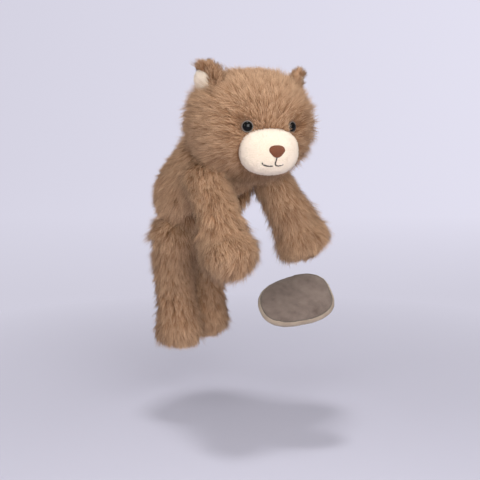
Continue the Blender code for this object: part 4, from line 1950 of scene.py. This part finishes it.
@dataclass
class Studio:
    """The camera as the photograph was taken, pale paper and plain soft light."""

    azimuth: float = math.radians(47)
    elevation: float = math.radians(8)
    distance: float = 1.2
    view_width: float = 0.48
    frame_size: int = 480
    shoulders_at: tuple[int, int] = (245, 183)
    floor_height: float = -0.284
    floor_ends: tuple[float, float] = (-3.0, 1.6)
    sweep: float = 0.6
    sweep_steps: int = 12
    wall_height: float = 4.0
    half_width: float = 4.0
    room_light: Colour = (1.0, 0.95, 0.92)
    room_strength: float = 0.27
    room_seen: Colour = (0.690, 0.675, 0.790)
    lamps: tuple[Lamp, ...] = (
        Lamp("key", to_camera=1.05, right=0.18, up=0.16, size=0.7, power=4.6, spread=110.0),
        Lamp("catch_light", to_camera=1.1, right=0.70, up=0.75, size=0.28, power=2.4),
        Lamp("fill", to_camera=0.7, right=-0.95, up=0.35, size=0.45, power=1.9),
        Lamp("overhead", to_camera=0.12, right=-0.06, up=1.6, size=0.28, power=11.0),
    )

    @property
    def towards_camera(self) -> Vector:
        """The way from the bear to the camera.

        Returns:
            The way, of length 1.
        """
        flat = math.cos(self.elevation)
        level = Vector((-math.sin(self.azimuth) * flat, -math.cos(self.azimuth) * flat, 0.0))
        return level + Vector((0.0, 0.0, math.sin(self.elevation)))

    def build(self) -> None:
        """Makes the camera, the paper and the light."""
        self.build_camera()
        self.build_paper()
        self.build_light()
        bpy.context.scene.view_settings.view_transform = "Standard"

    def aim(self, obj: bpy.types.Object, way: Vector, distance: float = 1.0) -> None:
        """Puts a camera or a lamp in its place, looking at the shoulders.

        Args:
            obj: The camera or the lamp.
            way: The way to it from the shoulders.
            distance: How many times that way it stands off.
        """
        obj.location = SHOULDERS + way * distance
        obj.rotation_mode = "QUATERNION"
        obj.rotation_quaternion = (-way).to_track_quat("-Z", "Y")

    def build_camera(self) -> None:
        """Makes the camera and sets it."""
        data = bpy.data.cameras.new("camera")
        camera = linked("camera", data)
        self.aim(camera, self.towards_camera, self.distance)
        data.sensor_fit = "HORIZONTAL"
        data.angle = 2 * math.atan(self.view_width / 2 / self.distance)
        middle = self.frame_size / 2
        data.shift_x = -(self.shoulders_at[0] - middle) / self.frame_size
        data.shift_y = (self.shoulders_at[1] - middle) / self.frame_size
        bpy.context.scene.camera = camera

    def build_paper(self) -> None:
        """Makes the floor and the wall behind as one sweep of paper."""
        choose()
        bpy.ops.mesh.primitive_plane_add(size=1.0)
        paper = bpy.context.active_object
        paper.name = paper.data.name = "paper_sweep"
        away = -self.towards_camera
        away.z = 0.0
        away.normalize()
        side = Vector((-away.y, away.x, 0.0))
        middle = Vector((SHOULDERS.x, SHOULDERS.y, self.floor_height))
        start, end = self.floor_ends
        rows = [(start, 0.0), (end, 0.0)]
        for angle in np.linspace(0.1, math.pi / 2, self.sweep_steps):
            rows.append((end + self.sweep * math.sin(angle), self.sweep - self.sweep * math.cos(angle)))
        rows.append((end + self.sweep, self.wall_height))
        points = [
            middle + away * ahead + Vector((0, 0, up)) + side * across
            for ahead, up in rows
            for across in (-self.half_width, self.half_width)
        ]
        faces = [(2 * n, 2 * n + 2, 2 * n + 3, 2 * n + 1) for n in range(len(rows) - 1)]
        paper.data.clear_geometry()
        paper.data.from_pydata(points, [], faces)
        paper.data.update()
        paper.data.shade_smooth()
        finish = StudioFinish(
            "studio_paper",
            floor=(0.600, 0.590, 0.690),
            ground=(0.630, 0.615, 0.715),
            left=(0.635, 0.620, 0.725),
            right=(0.800, 0.785, 0.915),
            middle=middle,
            side=-side,
            away=away,
        )
        dress(paper, finish.build())
        paper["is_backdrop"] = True

    def build_light(self) -> None:
        """Makes the lamps and the room's own light."""
        right = Vector((math.cos(self.azimuth), -math.sin(self.azimuth), 0.0))
        for lamp in self.lamps:
            data = bpy.data.lights.new(lamp.name, "AREA")
            data.size, data.energy, data.spread = lamp.size, lamp.power, math.radians(lamp.spread)
            offset = self.towards_camera * lamp.to_camera + right * lamp.right + Vector((0, 0, lamp.up))
            self.aim(linked(lamp.name, data), offset)
        self.build_room()

    def build_room(self) -> None:
        """Makes the room's own light, which the eye sees as pale as the paper."""
        world = bpy.data.worlds.new("room")
        bpy.context.scene.world = world
        world.use_nodes = True
        room = Nodes(world.node_tree)
        room.tree.nodes.remove(room.tree.nodes["Background"])
        lit = room.add("Background", Color=self.room_light, Strength=self.room_strength)
        seen = room.add("Background", Color=self.room_seen, Strength=1.0)
        to_eye = room.add("LightPath", output="Is Camera Ray")
        blend = room.add("MixShader", numbered={0: to_eye, 1: lit, 2: seen})
        room.feed(room.tree.nodes["World Output"].inputs["Surface"], blend)


def main() -> None:
    """Builds the studio, then the bear part by part."""
    logging.basicConfig(level=logging.INFO, format="%(name)s: %(message)s")
    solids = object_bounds()
    past = np.array(PILE_PAST_BOX)
    box = (np.array(solids[0]) - past, np.array(solids[1]) + past)
    Studio().build()
    finishes = Finishes()
    torso = Torso(finishes, box)
    torso.build()
    Head(finishes, box, torso).build()
    for kind in LimbKind:
        for side in Side:
            Limb(finishes, box, torso, kind, side).build()
    WarmingPad(finishes).build()


if __name__ == "__main__":
    main()
